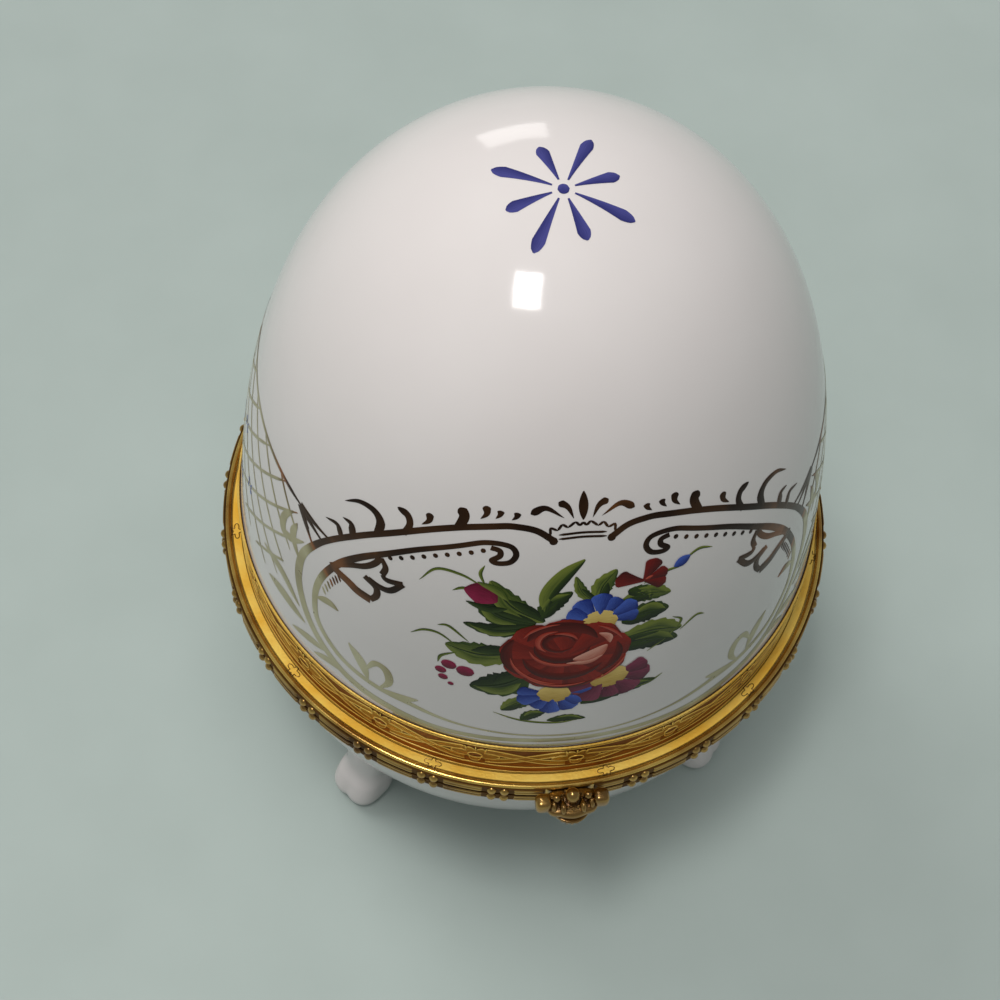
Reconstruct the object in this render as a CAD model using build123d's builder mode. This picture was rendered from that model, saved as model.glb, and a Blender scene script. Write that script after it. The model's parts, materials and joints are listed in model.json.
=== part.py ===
from build123d import *
import math
import os

os.makedirs("parts", exist_ok=True)

# Footed porcelain egg box: a dome lid hinged to a bowl, both edged in brass.
# Millimetres and degrees. Z is up from the table, the clasp faces -Y, the hinge +Y.

# Porcelain
parting_height = 45.8  # joint between bowl and lid above the table
apex_height = 127.4
shell_radius = 44.25  # outside of the porcelain where it sits in the brass
lid_taper = 0.16  # share of the radius lost towards the apex
lid_fullness = 4.0
lid_wall = 3.0
bowl_bottom = 6.0  # underside of the bowl above the table
bowl_fullness = 2.9
bowl_wall = 3.2
bowl_floor = 4.0

# Brass rims
ledge_width = 2.05  # skirt of the flange rings outside the porcelain
rim_height = 2.2  # joint to ledge, on each half
sheet = 0.6
parting_gap = 0.12
lip_width = 0.9  # polished lip around the ledge
lip_height = 0.35
lip_round = 0.3
neck_sheet = 0.3
neck_gap = 0.1  # cement film between neck band and porcelain
neck_rebate = 0.05  # step that lets the dome's foot into its neck band
lid_neck_height = 8.9
base_neck_height = 3.4

# Bead and reel mouldings
repeats = 28
bead_radius = 0.72
bead_inset = 0.08  # bead centres outside the skirt
bead_spacing = 1.85
moulding_sheet = 0.2
moulding_margin = 0.3  # plain edge above and below the strip
reel_arc = 7.2
reed_radius = 0.36
reed_offset = 0.4

# Feet
foot_azimuth = 50.0
toe_inset = 7.25  # toe centre inside the bowl's greatest radius
toe_length = 9.6
toe_width = 9.4
toe_height = 2.8
ankle_height = 8.6
ankle_length = 6.8
ankle_width = 7.4
ankle_shift = -1.9
knee_height = 24.0
knee_length = 12.0
knee_width = 17.0
knee_sink = 0.8  # knee's outer end under the bowl's face
pad_inset = 0.9

# Hinge
trim_reach = 4.4  # how far hinge and clasp stand out from the skirt
barrel_radius = 1.6
pin_radius = 0.7
pin_clearance = 0.05
pin_overhang = 0.3
leaf_sheet = 0.6
leaf_height = 1.7
lid_knuckle = 6.0
base_knuckle = 3.5
knuckle_gap = 0.15
web_gap = 0.25  # webs above and below the joint
cut_margin = 0.4  # bare skirt beside hinge leaf and clasp

# Clasp
lobe_offset = 4.2
lobe_reach = 1.9
lobe_lift = 1.65
lobe_radius = 1.35
bridge_width = 7.4
bridge_depth = 3.4
bridge_height = 1.5
knot_reach = 1.7
knot_lift = 2.7
knot_radius = 1.5
knot_bead_radius = 0.85
knot_bead_offset = 2.1
keeper_radius = 2.6
keeper_drop = 5.0
stud_radius = 0.6
stud_length = 1.3
stud_clearance = 0.1
socket_slack = 0.4

# Worked-out levels and radii
rim_radius = shell_radius + ledge_width
foot_reach = shell_radius - toe_inset
lid_joint = parting_height + parting_gap / 2
base_joint = parting_height - parting_gap / 2
lid_seat = lid_joint + sheet
base_seat = base_joint - sheet
lid_ledge = parting_height + rim_height
base_ledge = parting_height - rim_height
lid_neck_foot = lid_ledge - lip_height
lid_neck_top = lid_neck_foot + lid_neck_height
base_neck_top = base_ledge + lip_height
hinge_y = rim_radius + trim_reach - barrel_radius
hinge_length = lid_knuckle + 2 * (base_knuckle + knuckle_gap)
neck_rise = (lid_neck_top - lid_seat) / (apex_height - lid_seat)
rebate_radius = shell_radius * (1 - lid_taper * neck_rise) - neck_rebate
shell_stations = 12
bead_pitch = 360 / repeats


def shell_curve(radius, taper, fullness, seat, pole):
    """Points on a half-egg outline from its seat to its pole."""
    points = []
    for i in range(shell_stations):
        angle = math.pi / 2 * (i / shell_stations) ** 2
        rise = math.sin(angle) ** (2 / fullness)
        points.append((radius * (1 - taper * rise) * math.cos(angle), seat + (pole - seat) * rise))
    return points + [(0, pole)]


def bowl_radius(height):
    """Outside of the bowl at a height above the table."""
    depth = (base_seat - height) / (base_seat - bowl_bottom)
    return shell_radius * math.sqrt(1 - depth**bowl_fullness)


def shell_tangents(radius, taper, seat, pole):
    """Directions of the outline at its seat and at its pole."""
    return [(-taper * radius, pole - seat), (-1, 0)]


def flange_section(joint, ledge, inner_radius, neck_radius):
    """Channel with a meeting face, a skirt and a ledge edged by a lip."""
    up = math.copysign(1, ledge - joint)
    lip = rim_radius - lip_width
    return [
        (inner_radius, joint),
        (rim_radius, joint),
        (rim_radius, ledge),
        (lip, ledge),
        (lip, ledge - up * lip_height),
        (neck_radius, ledge - up * lip_height),
        (neck_radius, ledge - up * (lip_height + sheet)),
        (rim_radius - sheet, ledge - up * (lip_height + sheet)),
        (rim_radius - sheet, joint + up * sheet),
        (inner_radius, joint + up * sheet),
    ]


def radial_plane(azimuth, height):
    """Upright plane through the egg's axis, x pointing outwards and y up."""
    turn = math.radians(azimuth)
    return Plane(
        origin=(0, 0, height),
        x_dir=(math.cos(turn), math.sin(turn), 0),
        z_dir=(math.sin(turn), -math.cos(turn), 0),
    )


def rim_patch(width, thickness):
    """Outline of a curved plate on the skirt at the back."""
    with Locations((0, rim_radius)):
        Rectangle(width, rim_radius)
    Circle(rim_radius + thickness, mode=Mode.INTERSECT)
    Circle(rim_radius, mode=Mode.SUBTRACT)


def save(block, label):
    """Name the piece and write its STEP file."""
    block.part.label = label
    export_step(block.part, f"parts/{label}.step")


# Porcelain dome
with BuildPart() as lid_shell:
    with BuildSketch(Plane.XZ):
        with BuildLine():
            lid_outer = Spline(
                *shell_curve(shell_radius, lid_taper, lid_fullness, lid_seat, apex_height),
                tangents=shell_tangents(shell_radius, lid_taper, lid_seat, apex_height),
            )
            lid_inner = Spline(
                *shell_curve(
                    shell_radius - lid_wall, lid_taper, lid_fullness, lid_seat, apex_height - lid_wall
                ),
                tangents=shell_tangents(
                    shell_radius - lid_wall, lid_taper, lid_seat, apex_height - lid_wall
                ),
            )
            Line(lid_outer @ 0, lid_inner @ 0)
            Line(lid_outer @ 1, lid_inner @ 1)
        make_face()
    revolve(axis=Axis.Z)
    with BuildSketch(Plane.XY.offset(lid_seat)):
        Circle(rim_radius)
        Circle(rebate_radius, mode=Mode.SUBTRACT)
    extrude(amount=lid_neck_top - lid_seat, mode=Mode.SUBTRACT)
save(lid_shell, "lid_shell")

# Porcelain bowl
with BuildPart() as base_bowl:
    with BuildSketch(Plane.XZ):
        with BuildLine():
            bowl_outer = Spline(
                *shell_curve(shell_radius, 0, bowl_fullness, base_seat, bowl_bottom),
                tangents=shell_tangents(shell_radius, 0, base_seat, bowl_bottom),
            )
            bowl_inner = Spline(
                *shell_curve(
                    shell_radius - bowl_wall, 0, bowl_fullness, base_seat, bowl_bottom + bowl_floor
                ),
                tangents=shell_tangents(
                    shell_radius - bowl_wall, 0, base_seat, bowl_bottom + bowl_floor
                ),
            )
            Line(bowl_outer @ 0, bowl_inner @ 0)
            Line(bowl_outer @ 1, bowl_inner @ 1)
        make_face()
    revolve(axis=Axis.Z)
save(base_bowl, "base_bowl")

# Space inside the bowl's outer face, which the feet are trimmed by
with BuildPart() as bowl_body:
    with BuildSketch(Plane.XZ):
        with BuildLine():
            body_outer = Spline(
                *shell_curve(shell_radius, 0, bowl_fullness, base_seat, bowl_bottom),
                tangents=shell_tangents(shell_radius, 0, base_seat, bowl_bottom),
            )
            Line(body_outer @ 1, (0, base_seat))
            Line((0, base_seat), body_outer @ 0)
        make_face()
    revolve(axis=Axis.Z)

# Feet: a pad, a round toe, a waist and a knee that runs into the bowl
knee_reach = bowl_radius(knee_height) - knee_sink - knee_length / 2
foot_sections = [
    (0, foot_reach, toe_length - 2 * pad_inset, toe_width - 2 * pad_inset),
    (toe_height, foot_reach, toe_length, toe_width),
    (ankle_height, foot_reach + ankle_shift, ankle_length, ankle_width),
    (knee_height, knee_reach, knee_length, knee_width),
]
foot_azimuths = {
    "foot_front_left": -90 - foot_azimuth,
    "foot_front_right": -90 + foot_azimuth,
    "foot_rear_left": 90 + foot_azimuth,
    "foot_rear_right": 90 - foot_azimuth,
}
for foot_name, azimuth in foot_azimuths.items():
    turn = math.radians(azimuth)
    outward = Vector(math.cos(turn), math.sin(turn), 0)
    with BuildPart() as foot:
        for height, reach, length, width in foot_sections:
            centre = outward * reach + Vector(0, 0, height)
            with BuildSketch(Plane(origin=centre, x_dir=outward, z_dir=(0, 0, 1))):
                Ellipse(length / 2, width / 2)
        loft()
        add(bowl_body.part, mode=Mode.SUBTRACT)
    save(foot, foot_name)

# Brass flange rings
with BuildPart() as lid_flange_ring:
    with BuildSketch(Plane.XZ):
        with BuildLine():
            Polyline(
                *flange_section(lid_joint, lid_ledge, shell_radius - lid_wall, rebate_radius + neck_gap),
                close=True,
            )
        make_face()
    revolve(axis=Axis.Z)
    fillet(lid_flange_ring.edges().group_by(Axis.Z)[-1], lip_round)
save(lid_flange_ring, "lid_flange_ring")

with BuildPart() as base_flange_ring:
    with BuildSketch(Plane.XZ):
        with BuildLine():
            Polyline(
                *flange_section(base_joint, base_ledge, shell_radius - bowl_wall, shell_radius + neck_gap),
                close=True,
            )
        make_face()
    revolve(axis=Axis.Z)
    fillet(base_flange_ring.edges().group_by(Axis.Z)[0], lip_round)
save(base_flange_ring, "base_flange_ring")

# Neck bands, which stand on the ledges around the porcelain
with BuildPart() as lid_neck_band:
    with BuildSketch(Plane.XY.offset(lid_neck_foot)):
        Circle(rebate_radius + neck_gap + neck_sheet)
        Circle(rebate_radius + neck_gap, mode=Mode.SUBTRACT)
    extrude(amount=lid_neck_height)
save(lid_neck_band, "lid_neck_band")

with BuildPart() as base_neck_band:
    with BuildSketch(Plane.XY.offset(base_neck_top - base_neck_height)):
        Circle(shell_radius + neck_gap + neck_sheet)
        Circle(shell_radius + neck_gap, mode=Mode.SUBTRACT)
    extrude(amount=base_neck_height)
save(base_neck_band, "base_neck_band")

# Cement that fills the channels outside the porcelain
with BuildPart() as lid_cement_ring:
    with BuildSketch(Plane.XY.offset(lid_seat)):
        Circle(rim_radius - sheet)
        Circle(rebate_radius, mode=Mode.SUBTRACT)
    extrude(amount=lid_ledge - lip_height - sheet - lid_seat)
save(lid_cement_ring, "lid_cement_ring")

with BuildPart() as base_cement_ring:
    with BuildSketch(Plane.XY.offset(base_seat)):
        Circle(rim_radius - sheet)
        Circle(shell_radius, mode=Mode.SUBTRACT)
    extrude(amount=base_ledge + lip_height + sheet - base_seat)
save(base_cement_ring, "base_cement_ring")

# Bead and reel mouldings in two halves between hinge and clasp
moulding_height = rim_height - 2 * moulding_margin
clasp_width = 2 * (lobe_offset + lobe_radius)
moulding_centres = {
    "lid_bead_moulding": parting_height + rim_height / 2,
    "base_bead_moulding": parting_height - rim_height / 2,
}
for moulding_name, centre_height in moulding_centres.items():
    with BuildPart() as repeat:
        with Locations(
            (-bead_spacing / 2, -rim_radius - bead_inset, centre_height),
            (bead_spacing / 2, -rim_radius - bead_inset, centre_height),
        ):
            Sphere(bead_radius)
        with BuildSketch(radial_plane(-90 + (bead_pitch - reel_arc) / 2, centre_height)):
            with Locations((rim_radius + bead_inset, reed_offset), (rim_radius + bead_inset, -reed_offset)):
                Circle(reed_radius)
        revolve(axis=Axis.Z, revolution_arc=reel_arc)

    moulding_foot = Plane.XY.offset(centre_height - moulding_height / 2)
    with BuildPart() as moulding:
        with BuildSketch(moulding_foot):
            Circle(rim_radius + moulding_sheet)
        extrude(amount=moulding_height)
        with PolarLocations(0, repeats):
            add(repeat.part)
        with BuildSketch(moulding_foot):
            Circle(rim_radius)
            with Locations((0, -rim_radius)):
                Rectangle(clasp_width + 2 * cut_margin, rim_radius)
            with Locations((0, rim_radius)):
                Rectangle(hinge_length + 2 * cut_margin, rim_radius)
        extrude(amount=moulding_height, mode=Mode.SUBTRACT)
    save(moulding, moulding_name)

# Hinge leaf of the lid, with the middle knuckle
with BuildPart() as hinge_lid_leaf:
    with BuildSketch(Plane.XY.offset(lid_joint)):
        rim_patch(hinge_length, leaf_sheet)
    extrude(amount=leaf_height)
    with BuildSketch(Plane.XY.offset(parting_height + web_gap)):
        rim_patch(lid_knuckle, hinge_y - rim_radius)
    extrude(amount=barrel_radius - web_gap)
    with BuildSketch(Plane.YZ.offset(-lid_knuckle / 2)):
        with Locations((hinge_y, parting_height)):
            Circle(barrel_radius)
    extrude(amount=lid_knuckle)
    with BuildSketch(Plane.YZ.offset(-lid_knuckle / 2)):
        with Locations((hinge_y, parting_height)):
            Circle(pin_radius + pin_clearance)
    extrude(amount=lid_knuckle, mode=Mode.SUBTRACT)
save(hinge_lid_leaf, "hinge_lid_leaf")

# Hinge leaf of the base, with the two outer knuckles
with BuildPart() as hinge_base_leaf:
    with BuildSketch(Plane.XY.offset(base_joint)):
        rim_patch(hinge_length, leaf_sheet)
    extrude(amount=-leaf_height)
    with BuildSketch(Plane.XY.offset(parting_height - web_gap)):
        rim_patch(hinge_length, hinge_y - rim_radius)
    extrude(amount=web_gap - barrel_radius)
    with BuildSketch(Plane.YZ.offset(-hinge_length / 2)):
        with Locations((hinge_y, parting_height)):
            Circle(barrel_radius)
    extrude(amount=hinge_length)
    with BuildSketch(Plane.YZ.offset(-lid_knuckle / 2 - knuckle_gap)):
        with Locations((hinge_y, parting_height)):
            Rectangle(2 * (hinge_y - rim_radius - leaf_sheet), 2 * trim_reach)
    extrude(amount=lid_knuckle + 2 * knuckle_gap, mode=Mode.SUBTRACT)
    with BuildSketch(Plane.YZ.offset(-hinge_length / 2)):
        with Locations((hinge_y, parting_height)):
            Circle(pin_radius + pin_clearance)
    extrude(amount=hinge_length, mode=Mode.SUBTRACT)
save(hinge_base_leaf, "hinge_base_leaf")

# Hinge pin
with BuildPart() as hinge_pin:
    with BuildSketch(Plane.YZ.offset(-hinge_length / 2 - pin_overhang)):
        with Locations((hinge_y, parting_height)):
            Circle(pin_radius)
    extrude(amount=hinge_length + 2 * pin_overhang)
    fillet(hinge_pin.edges().filter_by(GeomType.CIRCLE), pin_overhang)
save(hinge_pin, "hinge_pin")

# Thumb piece of the clasp: a bridge, two lobes and a snap stud
stud_y = -rim_radius - trim_reach + keeper_radius
with BuildPart() as clasp_bow:
    with BuildSketch(Plane.XY.offset(lid_joint)):
        with Locations((0, -rim_radius)):
            Rectangle(bridge_width, 2 * bridge_depth)
        Circle(rim_radius, mode=Mode.SUBTRACT)
    extrude(amount=bridge_height)
    with BuildSketch(Plane.XY.offset(lid_joint)):
        with Locations((0, stud_y)):
            Circle(stud_radius)
    extrude(amount=-stud_length)
    with Locations(
        (-lobe_offset, -rim_radius - lobe_reach, lid_joint + lobe_lift),
        (lobe_offset, -rim_radius - lobe_reach, lid_joint + lobe_lift),
    ):
        Sphere(lobe_radius, rotation=(0, 0, 90))
save(clasp_bow, "clasp_bow")

# Knot on the bridge: a ball between two beads
with BuildPart() as clasp_knot:
    with Locations((0, -rim_radius - knot_reach, lid_joint + knot_lift)):
        Sphere(knot_radius)
    with Locations(
        (-knot_bead_offset, -rim_radius - knot_reach, lid_joint + knot_lift - knot_bead_radius / 2),
        (knot_bead_offset, -rim_radius - knot_reach, lid_joint + knot_lift - knot_bead_radius / 2),
    ):
        Sphere(knot_bead_radius)
    split(bisect_by=Plane.XY.offset(lid_joint + bridge_height))
save(clasp_knot, "clasp_knot")

# Keeper of the clasp: the lower half of a drop, with a socket for the stud
with BuildPart() as clasp_keeper:
    with BuildSketch(Plane.XZ.offset(-stud_y)):
        with BuildLine():
            drop_arc = TangentArc(
                (keeper_radius, base_joint), (0, base_joint - keeper_drop), tangent=(0, -1)
            )
            Line(drop_arc @ 1, (0, base_joint))
            Line((0, base_joint), drop_arc @ 0)
        make_face()
    revolve(axis=Axis((0, stud_y, base_joint), (0, 0, 1)))
    with BuildSketch(Plane.XY.offset(base_joint)):
        Circle(rim_radius)
    extrude(amount=-keeper_drop, mode=Mode.SUBTRACT)
    with BuildSketch(Plane.XY.offset(base_joint)):
        with Locations((0, stud_y)):
            Circle(stud_radius + stud_clearance)
    extrude(amount=-stud_length - socket_slack, mode=Mode.SUBTRACT)
save(clasp_keeper, "clasp_keeper")
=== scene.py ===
import json
import math

import bpy
from mathutils import Matrix, Vector


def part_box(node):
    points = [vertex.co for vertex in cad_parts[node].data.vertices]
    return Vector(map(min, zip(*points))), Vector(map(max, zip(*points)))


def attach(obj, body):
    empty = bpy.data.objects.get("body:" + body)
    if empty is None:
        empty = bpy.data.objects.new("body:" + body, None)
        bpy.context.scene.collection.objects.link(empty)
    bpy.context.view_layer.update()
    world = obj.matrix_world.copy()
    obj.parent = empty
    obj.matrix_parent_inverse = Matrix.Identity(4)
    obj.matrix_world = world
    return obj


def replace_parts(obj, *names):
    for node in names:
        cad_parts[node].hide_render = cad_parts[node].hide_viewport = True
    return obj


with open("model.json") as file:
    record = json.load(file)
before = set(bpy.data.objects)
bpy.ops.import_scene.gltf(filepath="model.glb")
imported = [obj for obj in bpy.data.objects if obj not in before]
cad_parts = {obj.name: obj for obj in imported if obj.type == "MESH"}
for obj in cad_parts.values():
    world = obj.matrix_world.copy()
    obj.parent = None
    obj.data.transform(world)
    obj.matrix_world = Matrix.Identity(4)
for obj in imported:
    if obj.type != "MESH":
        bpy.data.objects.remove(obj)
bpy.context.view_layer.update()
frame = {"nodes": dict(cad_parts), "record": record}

# All drawing is in millimetres; meshes are scaled to metres when they are built.
MM = 0.001

# Sizes read from the solids
X, Y, Z = 0, 1, 2


def extent(node, axis):
    """Lowest and highest place of a solid along an axis."""
    return [corner[axis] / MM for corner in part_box(node)]


def radius_of(node):
    return extent(node, X)[1]


SEAT, APEX = extent("lid_shell", Z)
BOWL_BOTTOM, BOWL_SEAT = extent("base_bowl", Z)
LID_JOINT, LEDGE_TOP = extent("lid_flange_ring", Z)
BASE_JOINT = extent("base_flange_ring", Z)[1]
NECK_FOOT, NECK_TOP = extent("lid_neck_band", Z)
BASE_NECK_FOOT, BASE_NECK_TOP = extent("base_neck_band", Z)
SHELL_RADIUS = radius_of("base_bowl")
RIM_RADIUS = radius_of("lid_flange_ring")
NECK_OUTER = radius_of("lid_neck_band")
BASE_NECK_OUTER = radius_of("base_neck_band")
HINGE_HALF = radius_of("hinge_base_leaf")
KEEPER_RADIUS = radius_of("clasp_keeper")
KEEPER_FRONT = extent("clasp_keeper", Y)[0]
KEEPER_DROP = BASE_JOINT - extent("clasp_keeper", Z)[0]

# Porcelain's curves and walls
LID_TAPER = 0.16
LID_FULLNESS = 4.0
LID_WALL = 3.0
BOWL_FULLNESS = 2.9
BOWL_WALL = 3.2
BOWL_FLOOR = 4.0

# Brass sheet
SHEET = 0.6
NECK_SHEET = 0.3
NECK_GAP = 0.1
LIP_WIDTH = 0.9
PARTING = (LID_JOINT + BASE_JOINT) / 2
HALF_GAP = LID_JOINT - PARTING
RIM_HEIGHT = LEDGE_TOP - PARTING
LIP_HEIGHT = LEDGE_TOP - NECK_FOOT
NECK_INNER = NECK_OUTER - NECK_SHEET
REBATE_RADIUS = NECK_INNER - NECK_GAP
BASE_NECK_INNER = BASE_NECK_OUTER - NECK_SHEET

# Camera, from the photograph: a long lens looking steeply down, a little rolled
CAMERA_PLACE = Vector((-36.4, -146.1, 319.2))
CAMERA_YAW = -12.45
CAMERA_TILT = 29.15
CAMERA_ROLL = 5.47
CAMERA_LENS = 72.0
CAMERA_SENSOR = 36.0

# Paint stands proud of the glaze by this much, and each layer over the one below
GLAZE_LIFT = 0.035
LAYER_LIFT = 0.014
PANEL_SHIFT = -1.5  # the front panel's centre, in degrees from the clasp


# Materials
HOLLOW_REACH = 0.0006  # metres; patina and painted shade sit in hollows about this narrow
HOLLOW_RANGE = (0.25, 0.75)  # openness from shaded brown to bare brass
PATINA_AND_SHADE = (0.16, 0.10, 0.06)  # of the brass's dark tone; brown patina and painted shade in the hollows
LACQUER_ROUGHNESS = 0.22
GLAZE_IOR = 1.5
PAINT_IOR = 1.22  # fired colour is less glossy than the glaze
BRASS_EDGE = (0.85, 0.58, 0.25, 1.0)  # tint of brass seen edge on
BRUSH_STRETCH = (0.35, 3.0, 1.0)  # streaks run along a stroke


class Nodes:
    """Adds nodes to one tree and joins them up."""

    def __init__(self, tree):
        self.nodes = tree.nodes
        self.links = tree.links

    def put(self, node, **inputs):
        """Give a node's inputs constants or other nodes' outputs; an underscore stands for a space."""
        for name, value in inputs.items():
            socket = node.inputs[name.replace("_", " ")]
            if isinstance(value, bpy.types.NodeSocket):
                self.links.new(value, socket)
            else:
                socket.default_value = value

    def add(self, kind, **inputs):
        node = self.nodes.new("ShaderNode" + kind)
        self.put(node, **inputs)
        return node

    def coords(self, kind):
        return self.add("TexCoord").outputs[kind]

    def parts(self, vector):
        return self.add("SeparateXYZ", Vector=vector).outputs

    def noise(self, coords, scale, detail=4.0):
        return self.add("TexNoise", Vector=coords, Scale=scale, Detail=detail).outputs["Fac"]

    def ramp(self, factor, stops):
        """Colour ramp on a factor; stops are (place, colour)."""
        node = self.add("ValToRGB", Fac=factor)
        elements = node.color_ramp.elements
        while len(elements) < len(stops):
            elements.new(0.5)
        for element, (place, colour) in zip(elements, stops):
            element.position = place
            element.color = (*colour, 1.0)
        return node.outputs["Color"]

    def span(self, factor, low, high, source=(0.0, 1.0)):
        """Map a factor from its source range to another."""
        first, last = source
        node = self.add("MapRange", Value=factor, From_Min=first, From_Max=last, To_Min=low, To_Max=high)
        return node.outputs["Result"]

    def calculate(self, operation, *values):
        """Math node on numbers and sockets."""
        node = self.add("Math")
        node.operation = operation
        for socket, value in zip(node.inputs, values):
            if isinstance(value, float):
                socket.default_value = value
            else:
                self.links.new(value, socket)
        return node.outputs[0]

    def mix(self, factor, first, second):
        """Colour between two others."""
        node = self.add("Mix")
        node.data_type = "RGBA"
        self.put(node, Factor=factor, A=first, B=second)
        return node.outputs["Result"]

    def bump(self, height, strength, distance):
        return self.add("Bump", Height=height, Strength=strength, Distance=distance).outputs["Normal"]


class Surface(Nodes):
    """A material's nodes around its Principled shader."""

    def __init__(self, name):
        self.material = bpy.data.materials.new(name)
        self.material.use_nodes = True
        super().__init__(self.material.node_tree)
        self.place = self.coords("Object")

    def grain(self, scale, detail=4.0):
        return self.noise(self.place, scale, detail)

    def finish(self, **inputs):
        """Set the shader's inputs and hand the material over."""
        self.put(self.nodes["Principled BSDF"], **inputs)
        return self.material


def porcelain():
    """White glaze: faint clouding, uneven gloss and a slight orange peel."""
    glaze = Surface("porcelain")
    return glaze.finish(
        Base_Color=glaze.ramp(glaze.grain(22.0), [(0.3, (0.74, 0.70, 0.685)), (0.7, (0.80, 0.765, 0.75))]),
        Roughness=glaze.span(glaze.grain(60.0), 0.06, 0.14), IOR=GLAZE_IOR,
        Normal=glaze.bump(glaze.grain(180.0, 2.0), 0.05, 0.0004))


def metal(name, dark, light, rough, grain, relief, metallic=1.0, coat=0.0):
    """Gilt brass: drifts from dark to light, brown patina and painted shade in its hollows, grainy in its
    gloss, lacquered.
    """
    brass = Surface(name)
    tone = brass.ramp(brass.grain(140.0, 6.0), [(0.32, dark), (0.62, light)])
    # darkening where the surface is occluded: patina and painted shade in the hollows
    hollow = brass.add("AmbientOcclusion", Color=tone, Distance=HOLLOW_REACH)
    hollow.samples = 6
    brown = (*[share * level for share, level in zip(PATINA_AND_SHADE, dark)], 1.0)
    bare = brass.span(hollow.outputs["AO"], 0.0, 1.0, HOLLOW_RANGE)
    fine = brass.grain(grain, 3.0)
    return brass.finish(
        Base_Color=brass.mix(bare, brown, tone), Roughness=brass.span(fine, *rough), Metallic=metallic,
        Specular_Tint=BRASS_EDGE, Coat_Weight=coat, Coat_Roughness=LACQUER_ROUGHNESS,
        Normal=brass.bump(fine, relief, 0.0002))


def paint(name, dark, light, streak=9.0):
    """Overglaze colour: brushed along each stroke, lighter towards one edge."""
    colour = Surface(name)
    uv = colour.coords("UV")
    stretched = colour.add("Mapping", Vector=uv, Scale=BRUSH_STRETCH).outputs["Vector"]
    brush = colour.span(colour.noise(stretched, streak, 5.0), -0.25, 0.65)
    tone = colour.calculate("MULTIPLY_ADD", colour.parts(uv)["Y"], 0.6, brush)
    return colour.finish(
        Base_Color=colour.ramp(tone, [(0.2, dark), (0.9, light)]), IOR=PAINT_IOR,
        Roughness=colour.span(colour.grain(400.0), 0.16, 0.3),
        Normal=colour.bump(colour.grain(900.0, 3.0), 0.12, 0.00006))


# Gold lustre turns olive below a line that climbs towards the sides, a painted reflection of lit
# surroundings; these are metres
OLIVE_REFLECTION_CENTRE = 0.014
OLIVE_REFLECTION_CLIMB = 2.0  # metres of height for a metre aside
OLIVE_REFLECTION_LEAST = 0.074
OLIVE_REFLECTION_BLEND = (-0.003, 0.003)


def gilding():
    """Burnished gold lustre with painted reflections: dark bronze for reflected shade, copper patches as
    painted glints on the upper front, olive for reflected lit surroundings low down and aside.
    """
    gold = Surface("gilding")
    place = gold.parts(gold.place)
    # olive painted reflection below a line that climbs towards the sides
    edge = gold.calculate("MULTIPLY_ADD", gold.calculate("ABSOLUTE", place["X"]), OLIVE_REFLECTION_CLIMB, OLIVE_REFLECTION_CENTRE)
    below = gold.calculate("SUBTRACT", gold.calculate("MAXIMUM", edge, OLIVE_REFLECTION_LEAST), place["Z"])
    olive_reflection = gold.span(below, 0.0, 0.62, OLIVE_REFLECTION_BLEND)
    tone = gold.calculate("ADD", olive_reflection, gold.span(gold.grain(90.0, 3.0), -0.30, 0.52))
    return gold.finish(
        # dark bronze stops are painted reflection of shade, copper ones painted glints, olive ones painted
        # reflection of lit surroundings
        Base_Color=gold.ramp(tone, [
            (0.05, (0.020, 0.009, 0.005)), (0.20, (0.060, 0.025, 0.010)), (0.32, (0.30, 0.105, 0.030)),
            (0.48, (0.22, 0.165, 0.075)), (0.72, (0.47, 0.42, 0.255)), (1.0, (0.66, 0.62, 0.44))]),
        Metallic=0.5, IOR=PAINT_IOR, Roughness=gold.span(gold.grain(500.0), 0.2, 0.42),
        Normal=gold.bump(gold.grain(1200.0, 3.0), 0.15, 0.00005))


def cement():
    """Matt plaster with pores."""
    plaster = Surface("cement")
    return plaster.finish(
        Base_Color=plaster.ramp(plaster.grain(300.0), [(0.3, (0.56, 0.52, 0.45)), (0.7, (0.70, 0.67, 0.60))]),
        Roughness=0.85, Normal=plaster.bump(plaster.grain(700.0), 0.4, 0.0003))


GLAZE = porcelain()
PLASTER = cement()
GOLD = gilding()
BRASS = metal("brass_polished", (0.44, 0.20, 0.022), (0.97, 0.65, 0.14), (0.14, 0.28), 260.0, 0.05, 0.85, 1.0)
# Darker copy of the brass for the lid's beads: painted shade on their bodies.
BEAD_BRASS_SHADED = metal("brass_beads_shaded", (0.24, 0.11, 0.016), (0.60, 0.36, 0.075), (0.24, 0.36), 260.0, 0.05, 1.0, 1.0)
# Darker copy of the brass for the lower rim and beads, the clasp, the keeper and the chased lines: painted
# shade.
SHADED_BRASS = metal("brass_shaded", (0.17, 0.075, 0.012), (0.46, 0.27, 0.055), (0.18, 0.30), 260.0, 0.06, 0.9, 1.0)
SATIN = metal("brass_satin", (0.90, 0.49, 0.045), (1.0, 0.72, 0.16), (0.42, 0.60), 2600.0, 0.5, 0.3)
NECK = metal("brass_neck", (0.12, 0.026, 0.003), (0.30, 0.092, 0.011), (0.30, 0.46), 900.0, 0.18, 0.6)
PATTERN = metal("brass_pattern", (0.32, 0.115, 0.009), (0.58, 0.28, 0.027), (0.30, 0.44), 900.0, 0.10, 0.5)
RAISED = metal("brass_raised", (0.80, 0.46, 0.070), (0.98, 0.68, 0.17), (0.24, 0.38), 500.0, 0.05, 0.4)
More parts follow.
